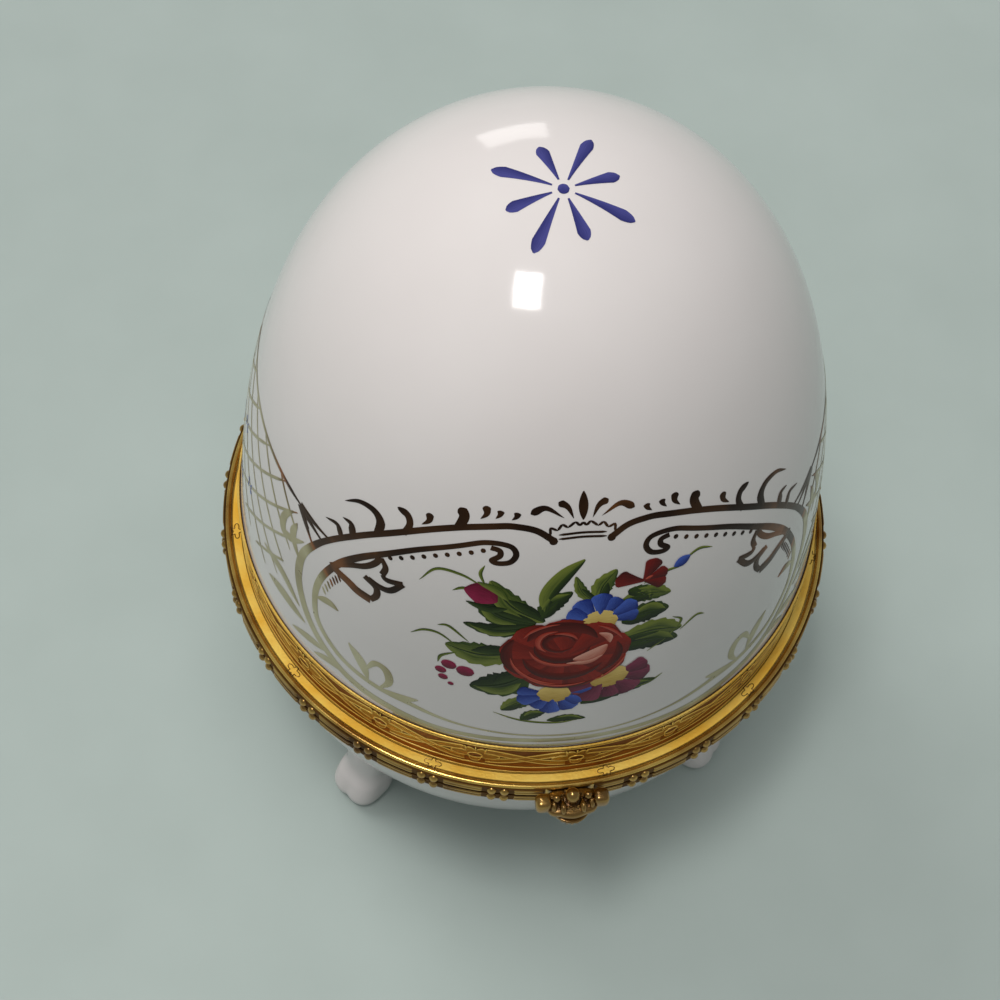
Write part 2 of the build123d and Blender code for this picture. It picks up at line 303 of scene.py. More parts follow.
# Near-black brass for the strip behind the beads: painted shade between them.
RECESS_SHADE = metal("brass_recess_shade", (0.040, 0.016, 0.004), (0.10, 0.044, 0.010), (0.40, 0.60), 900.0, 0.2, 0.6)
COBALT = paint("cobalt", (0.030, 0.032, 0.15), (0.075, 0.078, 0.28))
ROSE_DARK = paint("rose_dark", (0.045, 0.002, 0.001), (0.14, 0.007, 0.003))
ROSE_MID = paint("rose_mid", (0.12, 0.005, 0.002), (0.30, 0.018, 0.008))
ROSE_LIGHT = paint("rose_light", (0.30, 0.022, 0.012), (0.52, 0.11, 0.070))
SALMON = paint("salmon", (0.44, 0.10, 0.060), (0.72, 0.40, 0.31))
WINE = paint("wine", (0.055, 0.003, 0.003), (0.20, 0.010, 0.008))
MAGENTA = paint("magenta", (0.11, 0.003, 0.020), (0.32, 0.014, 0.070))
PLUM = paint("plum", (0.080, 0.006, 0.026), (0.26, 0.040, 0.090))
BLUE = paint("blue", (0.005, 0.016, 0.17), (0.070, 0.14, 0.55), streak=14.0)
YELLOW = paint("yellow", (0.50, 0.32, 0.060), (0.80, 0.60, 0.20))
LEAF_DARK = paint("leaf_dark", (0.004, 0.011, 0.002), (0.040, 0.070, 0.010))
LEAF_LIGHT = paint("leaf_light", (0.026, 0.052, 0.006), (0.21, 0.25, 0.042))

# Solids that stay in sight
NODE_MATERIALS = {
    "hinge_lid_leaf": BRASS, "hinge_base_leaf": BRASS, "hinge_pin": BRASS, "clasp_keeper": SHADED_BRASS,
    "lid_cement_ring": PLASTER, "base_cement_ring": PLASTER,
}
for node_name, node_material in NODE_MATERIALS.items():
    node_mesh = frame["nodes"][node_name].data
    node_mesh.materials.clear()
    node_mesh.materials.append(node_material)


# Mesh building

def add_object(name, data):
    obj = bpy.data.objects.new(name, data)
    bpy.context.collection.objects.link(obj)
    return obj


class Pieces:
    """Vertices, faces and UVs gathered from many strokes into one object."""

    def __init__(self):
        self.verts = []
        self.faces = []
        self.uvs = []

    def grid(self, rows):
        """Quads between equal rows of points; U runs from row to row and V along each."""
        start = len(self.verts)
        width = len(rows[0])
        for row in rows:
            self.verts.extend(row)
        for i in range(len(rows) - 1):
            for k in range(width - 1):
                corners = ((i, k), (i + 1, k), (i + 1, k + 1), (i, k + 1))
                self.faces.append([start + a * width + b for a, b in corners])
                self.uvs.extend(c for a, b in corners for c in (a / (len(rows) - 1), b / (width - 1)))

    def build(self, name, body, material, slot, sharp=None):
        mesh = bpy.data.meshes.new(name)
        mesh.from_pydata([Vector(v) * MM for v in self.verts], [], self.faces)
        mesh.uv_layers.new(name="UVMap").data.foreach_set("uv", self.uvs)
        mesh.polygons.foreach_set("use_smooth", [True] * len(mesh.polygons))
        if sharp:
            mesh.set_sharp_from_angle(angle=math.radians(sharp))
        mesh.materials.append(material)
        mesh.validate()
        piece = add_object(name, mesh)
        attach(piece, body)
        return piece


def upright(height):
    return Vector((0, 0, height))


def polar(radius, azimuth, height):
    turn = math.radians(azimuth)
    return Vector((radius * math.cos(turn), radius * math.sin(turn), height))


def around(radius, azimuth, height):
    """Point round the axis; azimuth runs from the clasp, positive to the viewer's right."""
    return polar(radius, azimuth - 90, height)


def steps(first, last, count):
    """Even steps from one value to another, with both ends."""
    return [first + (last - first) * k / count for k in range(count + 1)]


def turns(count):
    """Even angles once round, with both ends."""
    return steps(0, 2 * math.pi, count)


def heading(path, i):
    return (path[min(i + 1, len(path) - 1)] - path[max(i - 1, 0)]).normalized()


def smooth(points, count):
    """Even samples of a curve through a few points."""
    points = [Vector(p) for p in points]
    guide = [2 * points[0] - points[1]] + points + [2 * points[-1] - points[-2]]
    samples = []
    for place in steps(0, len(points) - 1, count - 1):
        k = min(int(place), len(points) - 2)
        f = place - k
        a, b, c, d = guide[k:k + 4]
        square = 2 * a - 5 * b + 4 * c - d
        cube = 3 * b - a - 3 * c + d
        samples.append(0.5 * (2 * b + (c - a) * f + square * f ** 2 + cube * f ** 3))
    return samples


def lathe(pieces, profile, segments=256):
    """Surface of revolution of (radius, height) points."""
    pieces.grid([[polar(radius, azimuth, height) for radius, height in profile]
                 for azimuth in steps(0, 360, segments)])


BLUNT = 0.04  # share of its length that keeps the tip of a tapered wire from closing
CAP_LEAST = 0.04  # square of the size left at a rounded end


def tube(pieces, path, radius, sides=8, taper=False, cap=0.0):
    """Round wire along a path; taper narrows both ends, cap rounds that share of each."""
    rows = [[path[0]] * (sides + 1)]
    side = heading(path, 0).orthogonal()
    for i, point in enumerate(path):
        along = heading(path, i)
        side = (side - along * side.dot(along)).normalized()
        up = along.cross(side)
        share = i / (len(path) - 1)
        size = radius
        if taper:
            size *= math.sqrt(math.sin(math.pi * (BLUNT + (1 - 2 * BLUNT) * share)))
        if cap:
            past = max(cap - share, share - 1 + cap, 0.0) / cap
            size *= math.sqrt(max(1 - past ** 2, CAP_LEAST))
        rows.append([point + (side * math.cos(t) + up * math.sin(t)) * size for t in turns(sides)])
    rows.append([path[-1]] * (sides + 1))
    pieces.grid(rows)


def post(pieces, foot, rise, radius, sides, cap=0.0):
    """Straight upright rod."""
    tube(pieces, [foot + upright(height) for height in steps(0, rise, 8)], radius, sides, cap=cap)


def ball(pieces, centre, half, rings=10, segments=16, squareness=1.0, azimuth=0.0):
    """Ellipsoid with three half sizes, turned about Z; the smaller the squareness, the flatter its sides."""
    def flat(value):
        return math.copysign(abs(value) ** squareness, value)

    first = polar(half[X], azimuth, 0)
    second = polar(half[Y], azimuth + 90, 0)
    rows = []
    for tilt in steps(0, math.pi, rings):
        wide = flat(math.sin(tilt))
        middle = centre + upright(half[Z] * flat(math.cos(tilt)))
        rows.append([middle + (first * flat(math.cos(t)) + second * flat(math.sin(t))) * wide
                     for t in turns(segments)])
    pieces.grid(rows)


# The porcelain's outlines

def shell_curve(radius, taper, fullness, seat, pole, count=96):
    points = []
    for i in range(count):
        angle = math.pi / 2 * (i / count) ** 2
        rise = math.sin(angle) ** (2 / fullness)
        points.append((radius * (1 - taper * rise) * math.cos(angle), seat + (pole - seat) * rise))
    return points + [(0.0, pole)]


def dome_radius(height):
    rise = min(max((height - SEAT) / (APEX - SEAT), 0.0), 1.0)
    return SHELL_RADIUS * (1 - LID_TAPER * rise) * math.sqrt(1 - rise ** LID_FULLNESS)


DOME_HALVINGS = 40


def dome_height(radius):
    """Height of the dome's surface at a distance from its axis."""
    low, high = NECK_TOP, APEX
    for _ in range(DOME_HALVINGS):
        middle = (low + high) / 2
        low, high = (middle, high) if dome_radius(middle) > radius else (low, middle)
    return (low + high) / 2


def bowl_radius(height):
    depth = min((BOWL_SEAT - height) / (BOWL_SEAT - BOWL_BOTTOM), 1.0)
    return SHELL_RADIUS * math.sqrt(1 - depth ** BOWL_FULLNESS)


def on_dome(azimuth, height):
    """Point on the glaze."""
    return around(dome_radius(height), azimuth, height)


def dome_normal(point):
    step = 0.05
    slope = (dome_radius(point.z + step) - dome_radius(point.z - step)) / (2 * step)
    radius = math.hypot(point.x, point.y)
    if radius < 1e-6 or point.z > APEX - 2 * step:
        return upright(1)
    return Vector((point.x / radius, point.y / radius, -slope)).normalized()


CROWN_HEIGHT = 116.0  # above this, strokes are dropped onto the dome from above


def settle(point, lift=0.0):
    """Put a point on the glaze, raised by the lift."""
    radius = math.hypot(point.x, point.y)
    if point.z > CROWN_HEIGHT:
        foot = Vector((point.x, point.y, dome_height(radius)))
    else:
        scale = dome_radius(point.z) / radius
        foot = Vector((point.x * scale, point.y * scale, point.z))
    return foot + dome_normal(foot) * lift


STROKE_STEPS = (-1.0, -0.5, 0.0, 0.5, 1.0)  # places across a stroke, in half widths


def stroke(pieces, path, width, layer=0, crown=0.03):
    """Thin ribbon on the dome along 3-D points; width is a function of the share along it."""
    rows = []
    lift = GLAZE_LIFT + LAYER_LIFT * layer
    for i, point in enumerate(path):
        side = dome_normal(point).cross(heading(path, i)).normalized()
        half = width(i / (len(path) - 1)) / 2
        rows.append([settle(point + side * half * s, lift + crown * (1 - s * s)) for s in STROKE_STEPS])
    pieces.grid(rows)


def panel_path(points, count, shift=0.0, mirror=1):
    """Dome points of a smooth line through (azimuth, height) pairs around a panel's centre."""
    return [on_dome(shift + mirror * p.x, p.y) for p in smooth(points, count)]


def motif_path(centre, points, count, turn=0.0):
    """Dome points of a smooth line through millimetre offsets from a place on the dome."""
    base = on_dome(*centre)
    normal = dome_normal(base)
    right = upright(1).cross(normal).normalized()
    up = normal.cross(right)
    cos, sin = math.cos(math.radians(turn)), math.sin(math.radians(turn))
    return [settle(base + right * (p.x * cos - p.y * sin) + up * (p.x * sin + p.y * cos))
            for p in smooth(points, count)]


# Stroke widths along their length

def line_width(width):
    return lambda t: width * min(1.0, 9 * t + 0.25, 9 * (1 - t) + 0.25)


def growing_width(first, last, start, end):
    """A line that goes from one width to another between two shares of its length."""
    return lambda t: first + (last - first) * min(max((t - start) / (end - start), 0.0), 1.0)


def leaf_width(width):
    return lambda t: width * math.sin(math.pi * (0.02 + 0.96 * t)) ** 0.8


def toothed_width(width, teeth):
    """Leaf with a saw edge."""
    blade = leaf_width(width)
    return lambda t: blade(t) * (0.86 + 0.22 * (teeth * t % 1.0))


def comma_width(width):
    """Round head at the start, drawn out to a point."""
    return lambda t: width * min(1.0, math.sqrt(max(t, 0.002) / 0.16)) * (1 - t) ** 0.75 * 1.25


def club_width(width):
    """Round head at the start, a little narrower where it joins."""
    return lambda t: width * min(1.0, math.sqrt(max(t, 0.002) / 0.2)) * (1 - 0.25 * t)


def thorn_width(width):
    """Broad where it grows from the line, curved out to a point."""
    return lambda t: width * (0.75 + 1.1 * t if t < 0.23 else (1 - t) ** 0.7 * 1.2) + 0.05


def petal_width(width):
    """Narrow at the start, full and round near the end."""
    return lambda t: width * (0.12 + 0.88 * t ** 1.1) * min(1.0, math.sqrt(max(1 - t, 0.002) / 0.2))


def dot_width(width):
    return lambda t: width * math.sqrt(max(1 - (2 * t - 1) ** 2, 0.0)) + 0.02


# Porcelain dome and bowl, turned finely for clean reflections

def make_dome():
    outer = [p for p in shell_curve(SHELL_RADIUS, LID_TAPER, LID_FULLNESS, SEAT, APEX) if p[1] > NECK_TOP]
    inner = shell_curve(SHELL_RADIUS - LID_WALL, LID_TAPER, LID_FULLNESS, SEAT, APEX - LID_WALL)
    foot = [(inner[0][0], SEAT), (REBATE_RADIUS, SEAT), (REBATE_RADIUS, NECK_TOP)]
    pieces = Pieces()
    lathe(pieces, foot + [(dome_radius(NECK_TOP), NECK_TOP)] + outer)
    lathe(pieces, inner[::-1])
    dome = pieces.build("porcelain_dome", "lid", GLAZE, "porcelain", sharp=40)
    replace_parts(dome, "lid_shell")


def make_bowl():
    outer = shell_curve(SHELL_RADIUS, 0, BOWL_FULLNESS, BOWL_SEAT, BOWL_BOTTOM)
    inner = shell_curve(SHELL_RADIUS - BOWL_WALL, 0, BOWL_FULLNESS, BOWL_SEAT, BOWL_BOTTOM + BOWL_FLOOR)
    pieces = Pieces()
    lathe(pieces, outer[::-1] + [(inner[0][0], BOWL_SEAT)])
    lathe(pieces, inner)
    bowl = pieces.build("porcelain_bowl", "base", GLAZE, "porcelain", sharp=40)
    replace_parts(bowl, "base_bowl")


# Feet: squared paws with one cleft at the toe, luted to the bowl
FOOT_SECTIONS = [  # height, shift towards the axis, length, width, squareness
    (0.0, 0.3, 7.2, 7.0, 2.8), (1.0, 0.3, 8.5, 8.3, 3.0), (2.8, 0.3, 8.8, 8.6, 3.0),
    (5.4, 0.9, 8.2, 8.2, 2.9), (8.6, 1.9, 6.8, 7.4, 2.5), (15.0, 2.6, 8.0, 10.4, 2.2),
    (24.0, 3.4, 12.0, 17.0, 2.0),
]
FOOT_ROWS = 44
FOOT_SIDES = 64
CLEFT_DEPTH = 0.09  # of the foot's reach
CLEFT_HALF = 0.17  # radians
CLEFT_TOP = 6.5
FOOT_SINK = 1.0  # how far a foot runs into the bowl's wall


def foot_row(pad, height, shift, length, width, squareness):
    """One level outline of a foot around its pad; inwards it ends just inside the bowl's wall."""
    outward = Vector((pad.x, pad.y, 0)).normalized()
    sideways = Vector((-outward.y, outward.x, 0))
    centre = pad - outward * shift + upright(height)
    fade = max(1 - height / CLEFT_TOP, 0.0)
    wall = bowl_radius(height) - FOOT_SINK
    row = []
    for turn in steps(-math.pi, math.pi, FOOT_SIDES):
        x, y = math.cos(turn), math.sin(turn)
        reach = (abs(2 * x / length) ** squareness + abs(2 * y / width) ** squareness) ** (-1 / squareness)
        reach *= 1 - CLEFT_DEPTH * fade * math.exp(-(turn / CLEFT_HALF) ** 2)
        point = centre + outward * (x * reach) + sideways * (y * reach)
        radius = math.hypot(point.x, point.y)
        if radius < wall:
            point = Vector((point.x * wall / radius, point.y * wall / radius, height))
        row.append(point)
    return row


def make_feet():
    for mount in frame["record"]["mounts"]:
        node = mount["name"].replace("foot_pad", "foot")
        pad = Vector(mount["pos_m"]) / MM
        rows = [foot_row(pad, *section) for section in smooth(FOOT_SECTIONS, FOOT_ROWS)]
        sole, top = [[sum(row, Vector((0, 0, 0))) / len(row)] * len(row) for row in (rows[0], rows[-1])]
        paw = Pieces()
        paw.grid([top] + rows[::-1] + [sole])
        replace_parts(paw.build("porcelain_" + node, "base", GLAZE, "porcelain", sharp=50), node)


# Brass rims
RING_STEPS = 360
LIP_STEPS = 12
GROOVE_DEPTH = 0.1
GROOVE_WIDTH = 0.12
GROOVE_BEVEL = 0.04
LEDGE_MARGIN = 0.03  # a face this near the ledge's height is satin


def flange_profile(up, inner_radius, neck_radius):
    """Closed channel section, with a rounded lip and a groove beside it."""
    joint = PARTING + up * HALF_GAP
    ledge = PARTING + up * RIM_HEIGHT
    floor = ledge - up * LIP_HEIGHT
    under = floor - up * SHEET
    bend = LIP_WIDTH / 2
    lip = []
    for turn in steps(0, math.pi, LIP_STEPS):
        lip.append((RIM_RADIUS - bend * (1 - math.cos(turn)), ledge - up * bend * (1 - math.sin(turn))))
    foot = RIM_RADIUS - LIP_WIDTH
    groove = [(foot, floor - up * GROOVE_DEPTH), (foot - GROOVE_WIDTH, floor - up * GROOVE_DEPTH),
              (foot - GROOVE_WIDTH - GROOVE_BEVEL, floor)]
    wall = RIM_RADIUS - SHEET
    channel = [(neck_radius, floor), (neck_radius, under), (wall, under), (wall, joint + up * SHEET),
               (inner_radius, joint + up * SHEET), (inner_radius, joint)]
    return [(inner_radius, joint), (RIM_RADIUS, joint)] + lip + groove + channel


def make_flange(name, node, body, up, inner_radius, neck_radius, brass):
    profile = flange_profile(up, inner_radius, neck_radius)
    pieces = Pieces()
    lathe(pieces, profile if up > 0 else profile[::-1], RING_STEPS)
    ring = pieces.build(name, body, brass, "brass", sharp=35)
    ring.data.materials.append(SATIN)
    floor = PARTING + up * (RIM_HEIGHT - LIP_HEIGHT)
    for polygon in ring.data.polygons:
        centre = polygon.center / MM
        if abs(centre.z - floor) < LEDGE_MARGIN and math.hypot(centre.x, centre.y) < RIM_RADIUS - LIP_WIDTH:
            polygon.material_index = 1
    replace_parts(ring, node)


# Bead and reel mouldings
REPEATS = 28
PITCH = 360 / REPEATS
BEAD_RADIUS = 0.72
BEAD_LINE = RIM_RADIUS + 0.08
BEAD_SPACING = 1.85
BEAD_MARGIN = 0.8  # degrees kept free beside the clasp and the hinge
REEL_MARGIN = 0.2
REEL_ARC = 7.2
REEL_STEPS = 48
REEL_LEAST = 8  # a reel with no more points than this clear of the trim is left out
REED_RADIUS = 0.31
REED_OFFSET = 0.4
REED_CAP = 0.06
STRIP_SHEET = 0.2
STRIP_HALF = RIM_HEIGHT / 2 - 0.3
STRIP_STEPS = 160
LID_TRIM_HALF = 3.6  # the lid's moulding runs in behind the clasp's lobes
BASE_TRIM_HALF = KEEPER_RADIUS + 0.2
HINGE_MARGIN = 0.4


def rim_angle(half_width):
    """Degrees that half a width takes up on the skirt."""
    return math.degrees(math.asin(half_width / RIM_RADIUS))


HINGE_CLEAR = rim_angle(HINGE_HALF + HINGE_MARGIN)


def make_moulding(name, node, body, up, clasp_half, brass):
    """Strip with pairs of beads and long reels on it, from the clasp round to the hinge on both sides."""
    clasp_clear = rim_angle(clasp_half)
    hinge_clear = 180 - HINGE_CLEAR
    centre = PARTING + up * RIM_HEIGHT / 2
    half_pair = math.degrees(BEAD_SPACING / 2 / BEAD_LINE)

    def clear_of_trim(azimuth, margin):
        turn = abs((azimuth + 180) % 360 - 180)
        return clasp_clear + margin < turn < hinge_clear - margin

    strip = Pieces()
    front = RIM_RADIUS + STRIP_SHEET
    section = [(RIM_RADIUS, -STRIP_HALF), (front, -STRIP_HALF), (front, STRIP_HALF), (RIM_RADIUS, STRIP_HALF),
               (RIM_RADIUS, -STRIP_HALF)]
    for first, last in ((clasp_clear, hinge_clear), (-hinge_clear, -clasp_clear)):
        strip.grid([[around(radius, azimuth, centre + height) for radius, height in section]
                    for azimuth in steps(first, last, STRIP_STEPS)])
    # the strip is near-black: painted shade behind the beads
    strip.build(name + "_strip", body, RECESS_SHADE, "brass", sharp=35)

    beads = Pieces()
    for i in range(REPEATS):
        for azimuth in (i * PITCH - half_pair, i * PITCH + half_pair):
            if clear_of_trim(azimuth, BEAD_MARGIN):
                ball(beads, around(BEAD_LINE, azimuth, centre), [BEAD_RADIUS] * 3, azimuth=azimuth - 90)
        middle = (i + 0.5) * PITCH
        reel = [azimuth for azimuth in steps(middle - REEL_ARC / 2, middle + REEL_ARC / 2, REEL_STEPS)
                if clear_of_trim(azimuth, REEL_MARGIN)]
        for reed in (-REED_OFFSET, REED_OFFSET):
            if len(reel) > REEL_LEAST:
                path = [around(BEAD_LINE, azimuth, centre + reed) for azimuth in reel]
                tube(beads, path, REED_RADIUS, 12, cap=REED_CAP)
    trim = beads.build(name, body, brass, "brass", sharp=50)
    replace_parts(trim, node)


# Neck band with flat raised flowers and crossing ribbons
FLOWERS = 19
FLOWER_SHIFT = 1.1  # degrees from the clasp to the nearest flower
FLOWER_PITCH = 360 / FLOWERS
FLOWER_HEIGHT = NECK_FOOT + 0.60 * (NECK_TOP - NECK_FOOT)
FLOWER_PETALS = [  # turn, reach, narrowness
    (0, 3.5, 5.0), (180, 3.5, 5.0), (-90, 2.2, 2.4), (60, 2.4, 4.0), (120, 2.4, 4.0)]
FLOWER_CORE = 1.25
FLOWER_SPIKES = [((-1.25, 1.5), (-1.6, 2.5)), ((0.0, 1.5), (0.0, 2.6)), ((1.25, 1.5), (1.6, 2.5))]
FLOWER_LIFT = 0.14
FLOWER_WIRE_LIFT = 0.06
SPIKE_LIFT = 0.12
EYE_HALF = (1.05, 0.8)
EYE_LIFT = 0.18
EYE_WIRE_LIFT = 0.17
PLATE_RINGS = (0.93, 0.5, 0.0)  # shares of a plate's outline from its bevel to its middle
RIBBON_START = 1.5
RIBBON_WIDTH = 1.45
RIBBON_SWING = 1.5
RIBBON_STEPS = 24
RIBBON_LIFTS = ((-1, 0.05), (1, 0.10))  # which way a ribbon swings first, and its height off the neck
WIRE = 0.11
WIRE_SIDES = 6
NECK_LINES = (NECK_FOOT + 0.3, NECK_FOOT + 2.1, NECK_TOP - 0.55)
LINE_STEPS = 180
SERRATIONS = 400
SERRATED_RADII = (0.15, 0.20)
SERRATED_INSET = Vector((-0.08, -0.02))  # from the neck's upper outer corner
NECK_DEGREE = math.degrees(1 / NECK_OUTER)  # degrees for a millimetre round the neck


def on_neck(azimuth, height, lift=0.0):
    return around(NECK_OUTER + lift, azimuth, height)


def oval(half, count=24):
    """Closed outline in millimetres."""
    return [(half[0] * math.cos(t), half[1] * math.sin(t)) for t in turns(count)]


def flower_outline(count=96):
    """Closed outline of round-ended petals about a core, in millimetres."""
    outline = []
    for t in turns(count):
        reach = max([FLOWER_CORE] + [length * max(math.cos(t - math.radians(turn)), 0.0) ** narrow
                                     for turn, length, narrow in FLOWER_PETALS])
        outline.append((reach * math.cos(t), reach * math.sin(t)))
    return outline


def neck_outline(outline, azimuth, lift, scale=1.0):
    return [on_neck(azimuth + x * scale * NECK_DEGREE, FLOWER_HEIGHT + y * scale, lift) for x, y in outline]


def neck_plate(pieces, outline, azimuth, lift):
    """Flat pad on the neck with a bevelled edge."""
    rim = neck_outline(outline, azimuth, 0.0)
    pieces.grid([rim] + [neck_outline(outline, azimuth, lift, scale) for scale in PLATE_RINGS])


def ribbon_line(azimuth, side, offset, lift):
    """Line along a ribbon from one flower to the next, offset from its middle."""
    start = RIBBON_START * NECK_DEGREE
    return [on_neck(azimuth + start + (FLOWER_PITCH - 2 * start) * share,
                    FLOWER_HEIGHT + RIBBON_SWING * math.cos(math.pi * share) * side + offset, lift)
            for share in steps(0, 1, RIBBON_STEPS)]


def make_band(name, node, body, inner, outer, foot, top):
    """Plain brass strip round the porcelain."""
    band = Pieces()
    lathe(band, [(inner, foot), (outer, foot), (outer, top), (inner, top), (inner, foot)], RING_STEPS)
    ring = band.build(name, body, NECK, "brass", sharp=35)
    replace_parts(ring, node)


def make_serrated_edge():
    edge = Pieces()
    rows = []
    for i in range(SERRATIONS * 2 + 1):
        azimuth = 180 * i / SERRATIONS
        swell = SERRATED_RADII[i % 2]
        centre = polar(NECK_OUTER + SERRATED_INSET.x, azimuth, NECK_TOP + SERRATED_INSET.y)
        outward = polar(swell, azimuth, 0)
        rows.append([centre + outward * math.cos(t) + upright(math.sin(t) * swell) for t in turns(8)])
    edge.grid(rows)
    edge.build("neck_serrated_edge", "lid", RAISED, "brass")


def make_neck_pattern():
    pads = Pieces()
    eyes = Pieces()
    wires = Pieces()
    flower = flower_outline()
    eye = oval(EYE_HALF)

    def wire(path):
        tube(wires, path, WIRE, WIRE_SIDES)

    for i in range(FLOWERS):
        azimuth = FLOWER_SHIFT + i * FLOWER_PITCH
        neck_plate(pads, flower, azimuth, FLOWER_LIFT)
        neck_plate(eyes, eye, azimuth, EYE_LIFT)
        wire(neck_outline(flower, azimuth, FLOWER_WIRE_LIFT))
        wire(neck_outline(eye, azimuth, EYE_WIRE_LIFT))
        for spike in FLOWER_SPIKES:
            wire(neck_outline(spike, azimuth, SPIKE_LIFT))
        for side, lift in RIBBON_LIFTS:
            edges = ((-0.5, 0.0), (-0.45, lift), (0.45, lift), (0.5, 0.0))  # share of the width, height
            pads.grid([ribbon_line(azimuth, side, RIBBON_WIDTH * share, height) for share, height in edges])
            for share in (-0.5, 0.5):
                wire(ribbon_line(azimuth, side, RIBBON_WIDTH * share, lift * 0.6))
    for height in NECK_LINES:
        wire([on_neck(azimuth, height) for azimuth in steps(0, 360, LINE_STEPS)])
    pads.build("neck_pattern", "lid", PATTERN, "brass", sharp=50)
    eyes.build("neck_flower_eyes", "lid", NECK, "brass", sharp=50)
    wires.build("neck_wires", "lid", RAISED, "brass")


# Small flowers and lines chased in the satin ledge
CHASED_FLOWERS = 11
CHASED_SHIFT = 7.2
CHASED_SCALE = 0.36  # of a neck flower
CHASED_LIFT = 0.01
CHASED_WIRE = 0.07
CHASED_LINE = 0.05
CHASED_INSET = 0.22  # of a line from the ledge's edges


def make_ledge_chasing():
    chasing = Pieces()
    inner, outer = NECK_OUTER, RIM_RADIUS - LIP_WIDTH
    middle = (inner + outer) / 2
    flower = [(x * CHASED_SCALE, y * CHASED_SCALE) for x, y in flower_outline(60)]
    for i in range(CHASED_FLOWERS):
        azimuth = CHASED_SHIFT + i * 360 / CHASED_FLOWERS
        path = [around(middle + y, azimuth + x * NECK_DEGREE, NECK_FOOT + CHASED_LIFT) for x, y in flower]
        tube(chasing, path, CHASED_WIRE, 5)
    for radius in (inner + CHASED_INSET, outer - CHASED_INSET):
        line = [polar(radius, azimuth, NECK_FOOT) for azimuth in steps(0, 360, LINE_STEPS)]
        tube(chasing, line, CHASED_LINE, 5)
    chasing.build("ledge_chasing", "lid", SHADED_BRASS, "brass")


# Dressing of the clasp: squared lobes joined by a bar, a ball on a ring of beads, ribs on the keeper
LOBE_PLACE = (4.2, 1.9, 1.65)  # aside, out from the skirt, above the joint
LOBE_HALF = (1.2, 1.2, 1.4)
LOBE_SQUARENESS = 0.6
BAR_RADIUS = 0.75
BAR_BULGE = 1.7
SLAB_HALF = (3.7, 2.0, 0.8)
SLAB_OUT = 1.9
SLAB_SQUARENESS = 0.5
RIB_PLACES = (-2.75, -1.45, 1.45, 2.75)  # aside, on the bow's front
RIB_HALF = (0.55, 1.05, 0.95)
STUD_RADIUS = 0.6
STUD_LENGTH = 1.3
STUD_CAP = 0.2
BALL_PLACE = (1.7, 1.5)  # foot of the ball's stem: out from the skirt, above the joint
BALL_RADIUS = 1.12
BALL_LIFT = 1.65
COLLAR_BEADS = 12
COLLAR_RADIUS = 1.45
COLLAR_LIFT = 0.2
COLLAR_BEAD = 0.3
KNOB_RADIUS = 0.64
KNOB_ASIDE = 2.3
KNOB_LIFT = 1.15
KEEPER_LINE = KEEPER_FRONT + KEEPER_RADIUS  # where the keeper and the stud have their axis, along Y
KEEPER_RIBS = 9
RIB_RADIUS = 0.26
RIB_SPAN = (0.08, 0.98)  # of the keeper's curve
KEEPER_RING = 0.22
KEEPER_RING_DROP = 0.45
KEEPER_RING_ENDS = (185, 355)


def make_bow(ball_foot):
    bow = Pieces()
    aside, out, lift = LOBE_PLACE
    lobes = [Vector((side * aside, -RIM_RADIUS - out, LID_JOINT + lift)) for side in (-1, 1)]
    for lobe in lobes:
        ball(bow, lobe, LOBE_HALF, 14, 24, LOBE_SQUARENESS)
    slab = Vector((0, -RIM_RADIUS - SLAB_OUT, LID_JOINT + SLAB_HALF[Z]))
    ball(bow, slab, SLAB_HALF, 14, 24, SLAB_SQUARENESS)
    low = upright(BAR_RADIUS - lift)
    front = Vector((0, -RIM_RADIUS - out - BAR_BULGE, LID_JOINT + BAR_RADIUS))
    tube(bow, smooth([lobes[0] + low, front, lobes[1] + low], 24), BAR_RADIUS, 14)
    for place in RIB_PLACES:
        bulge = BAR_BULGE * (1 - (place / aside) ** 2)
        rib = Vector((place, -RIM_RADIUS - out - bulge + RIB_HALF[Y] / 2, LID_JOINT + lift))
        ball(bow, rib, RIB_HALF)
    post(bow, Vector((0, KEEPER_LINE, LID_JOINT)), -STUD_LENGTH, STUD_RADIUS, 16, STUD_CAP)
    for k in range(COLLAR_BEADS):
        bead = ball_foot + polar(COLLAR_RADIUS, 360 * k / COLLAR_BEADS, COLLAR_LIFT)
        ball(bow, bead, [COLLAR_BEAD] * 3, 6, 10)
    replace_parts(bow.build("clasp_bow_dressing", "lid", SHADED_BRASS, "brass", sharp=60), "clasp_bow")


def make_knot(ball_foot):
    knot = Pieces()
    post(knot, ball_foot, BALL_LIFT, 0.9 * BALL_RADIUS, 20)
    ball(knot, ball_foot + upright(BALL_LIFT), [BALL_RADIUS] * 3, 14, 24)
    for side in (-1, 1):
        foot = ball_foot + Vector((side * KNOB_ASIDE, 0, 0))
        post(knot, foot, KNOB_LIFT, 0.85 * KNOB_RADIUS, 14)
        ball(knot, foot + upright(KNOB_LIFT), [KNOB_RADIUS] * 3, 12, 20)
    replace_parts(knot.build("clasp_knot_dressing", "lid", SHADED_BRASS, "brass", sharp=60), "clasp_knot")


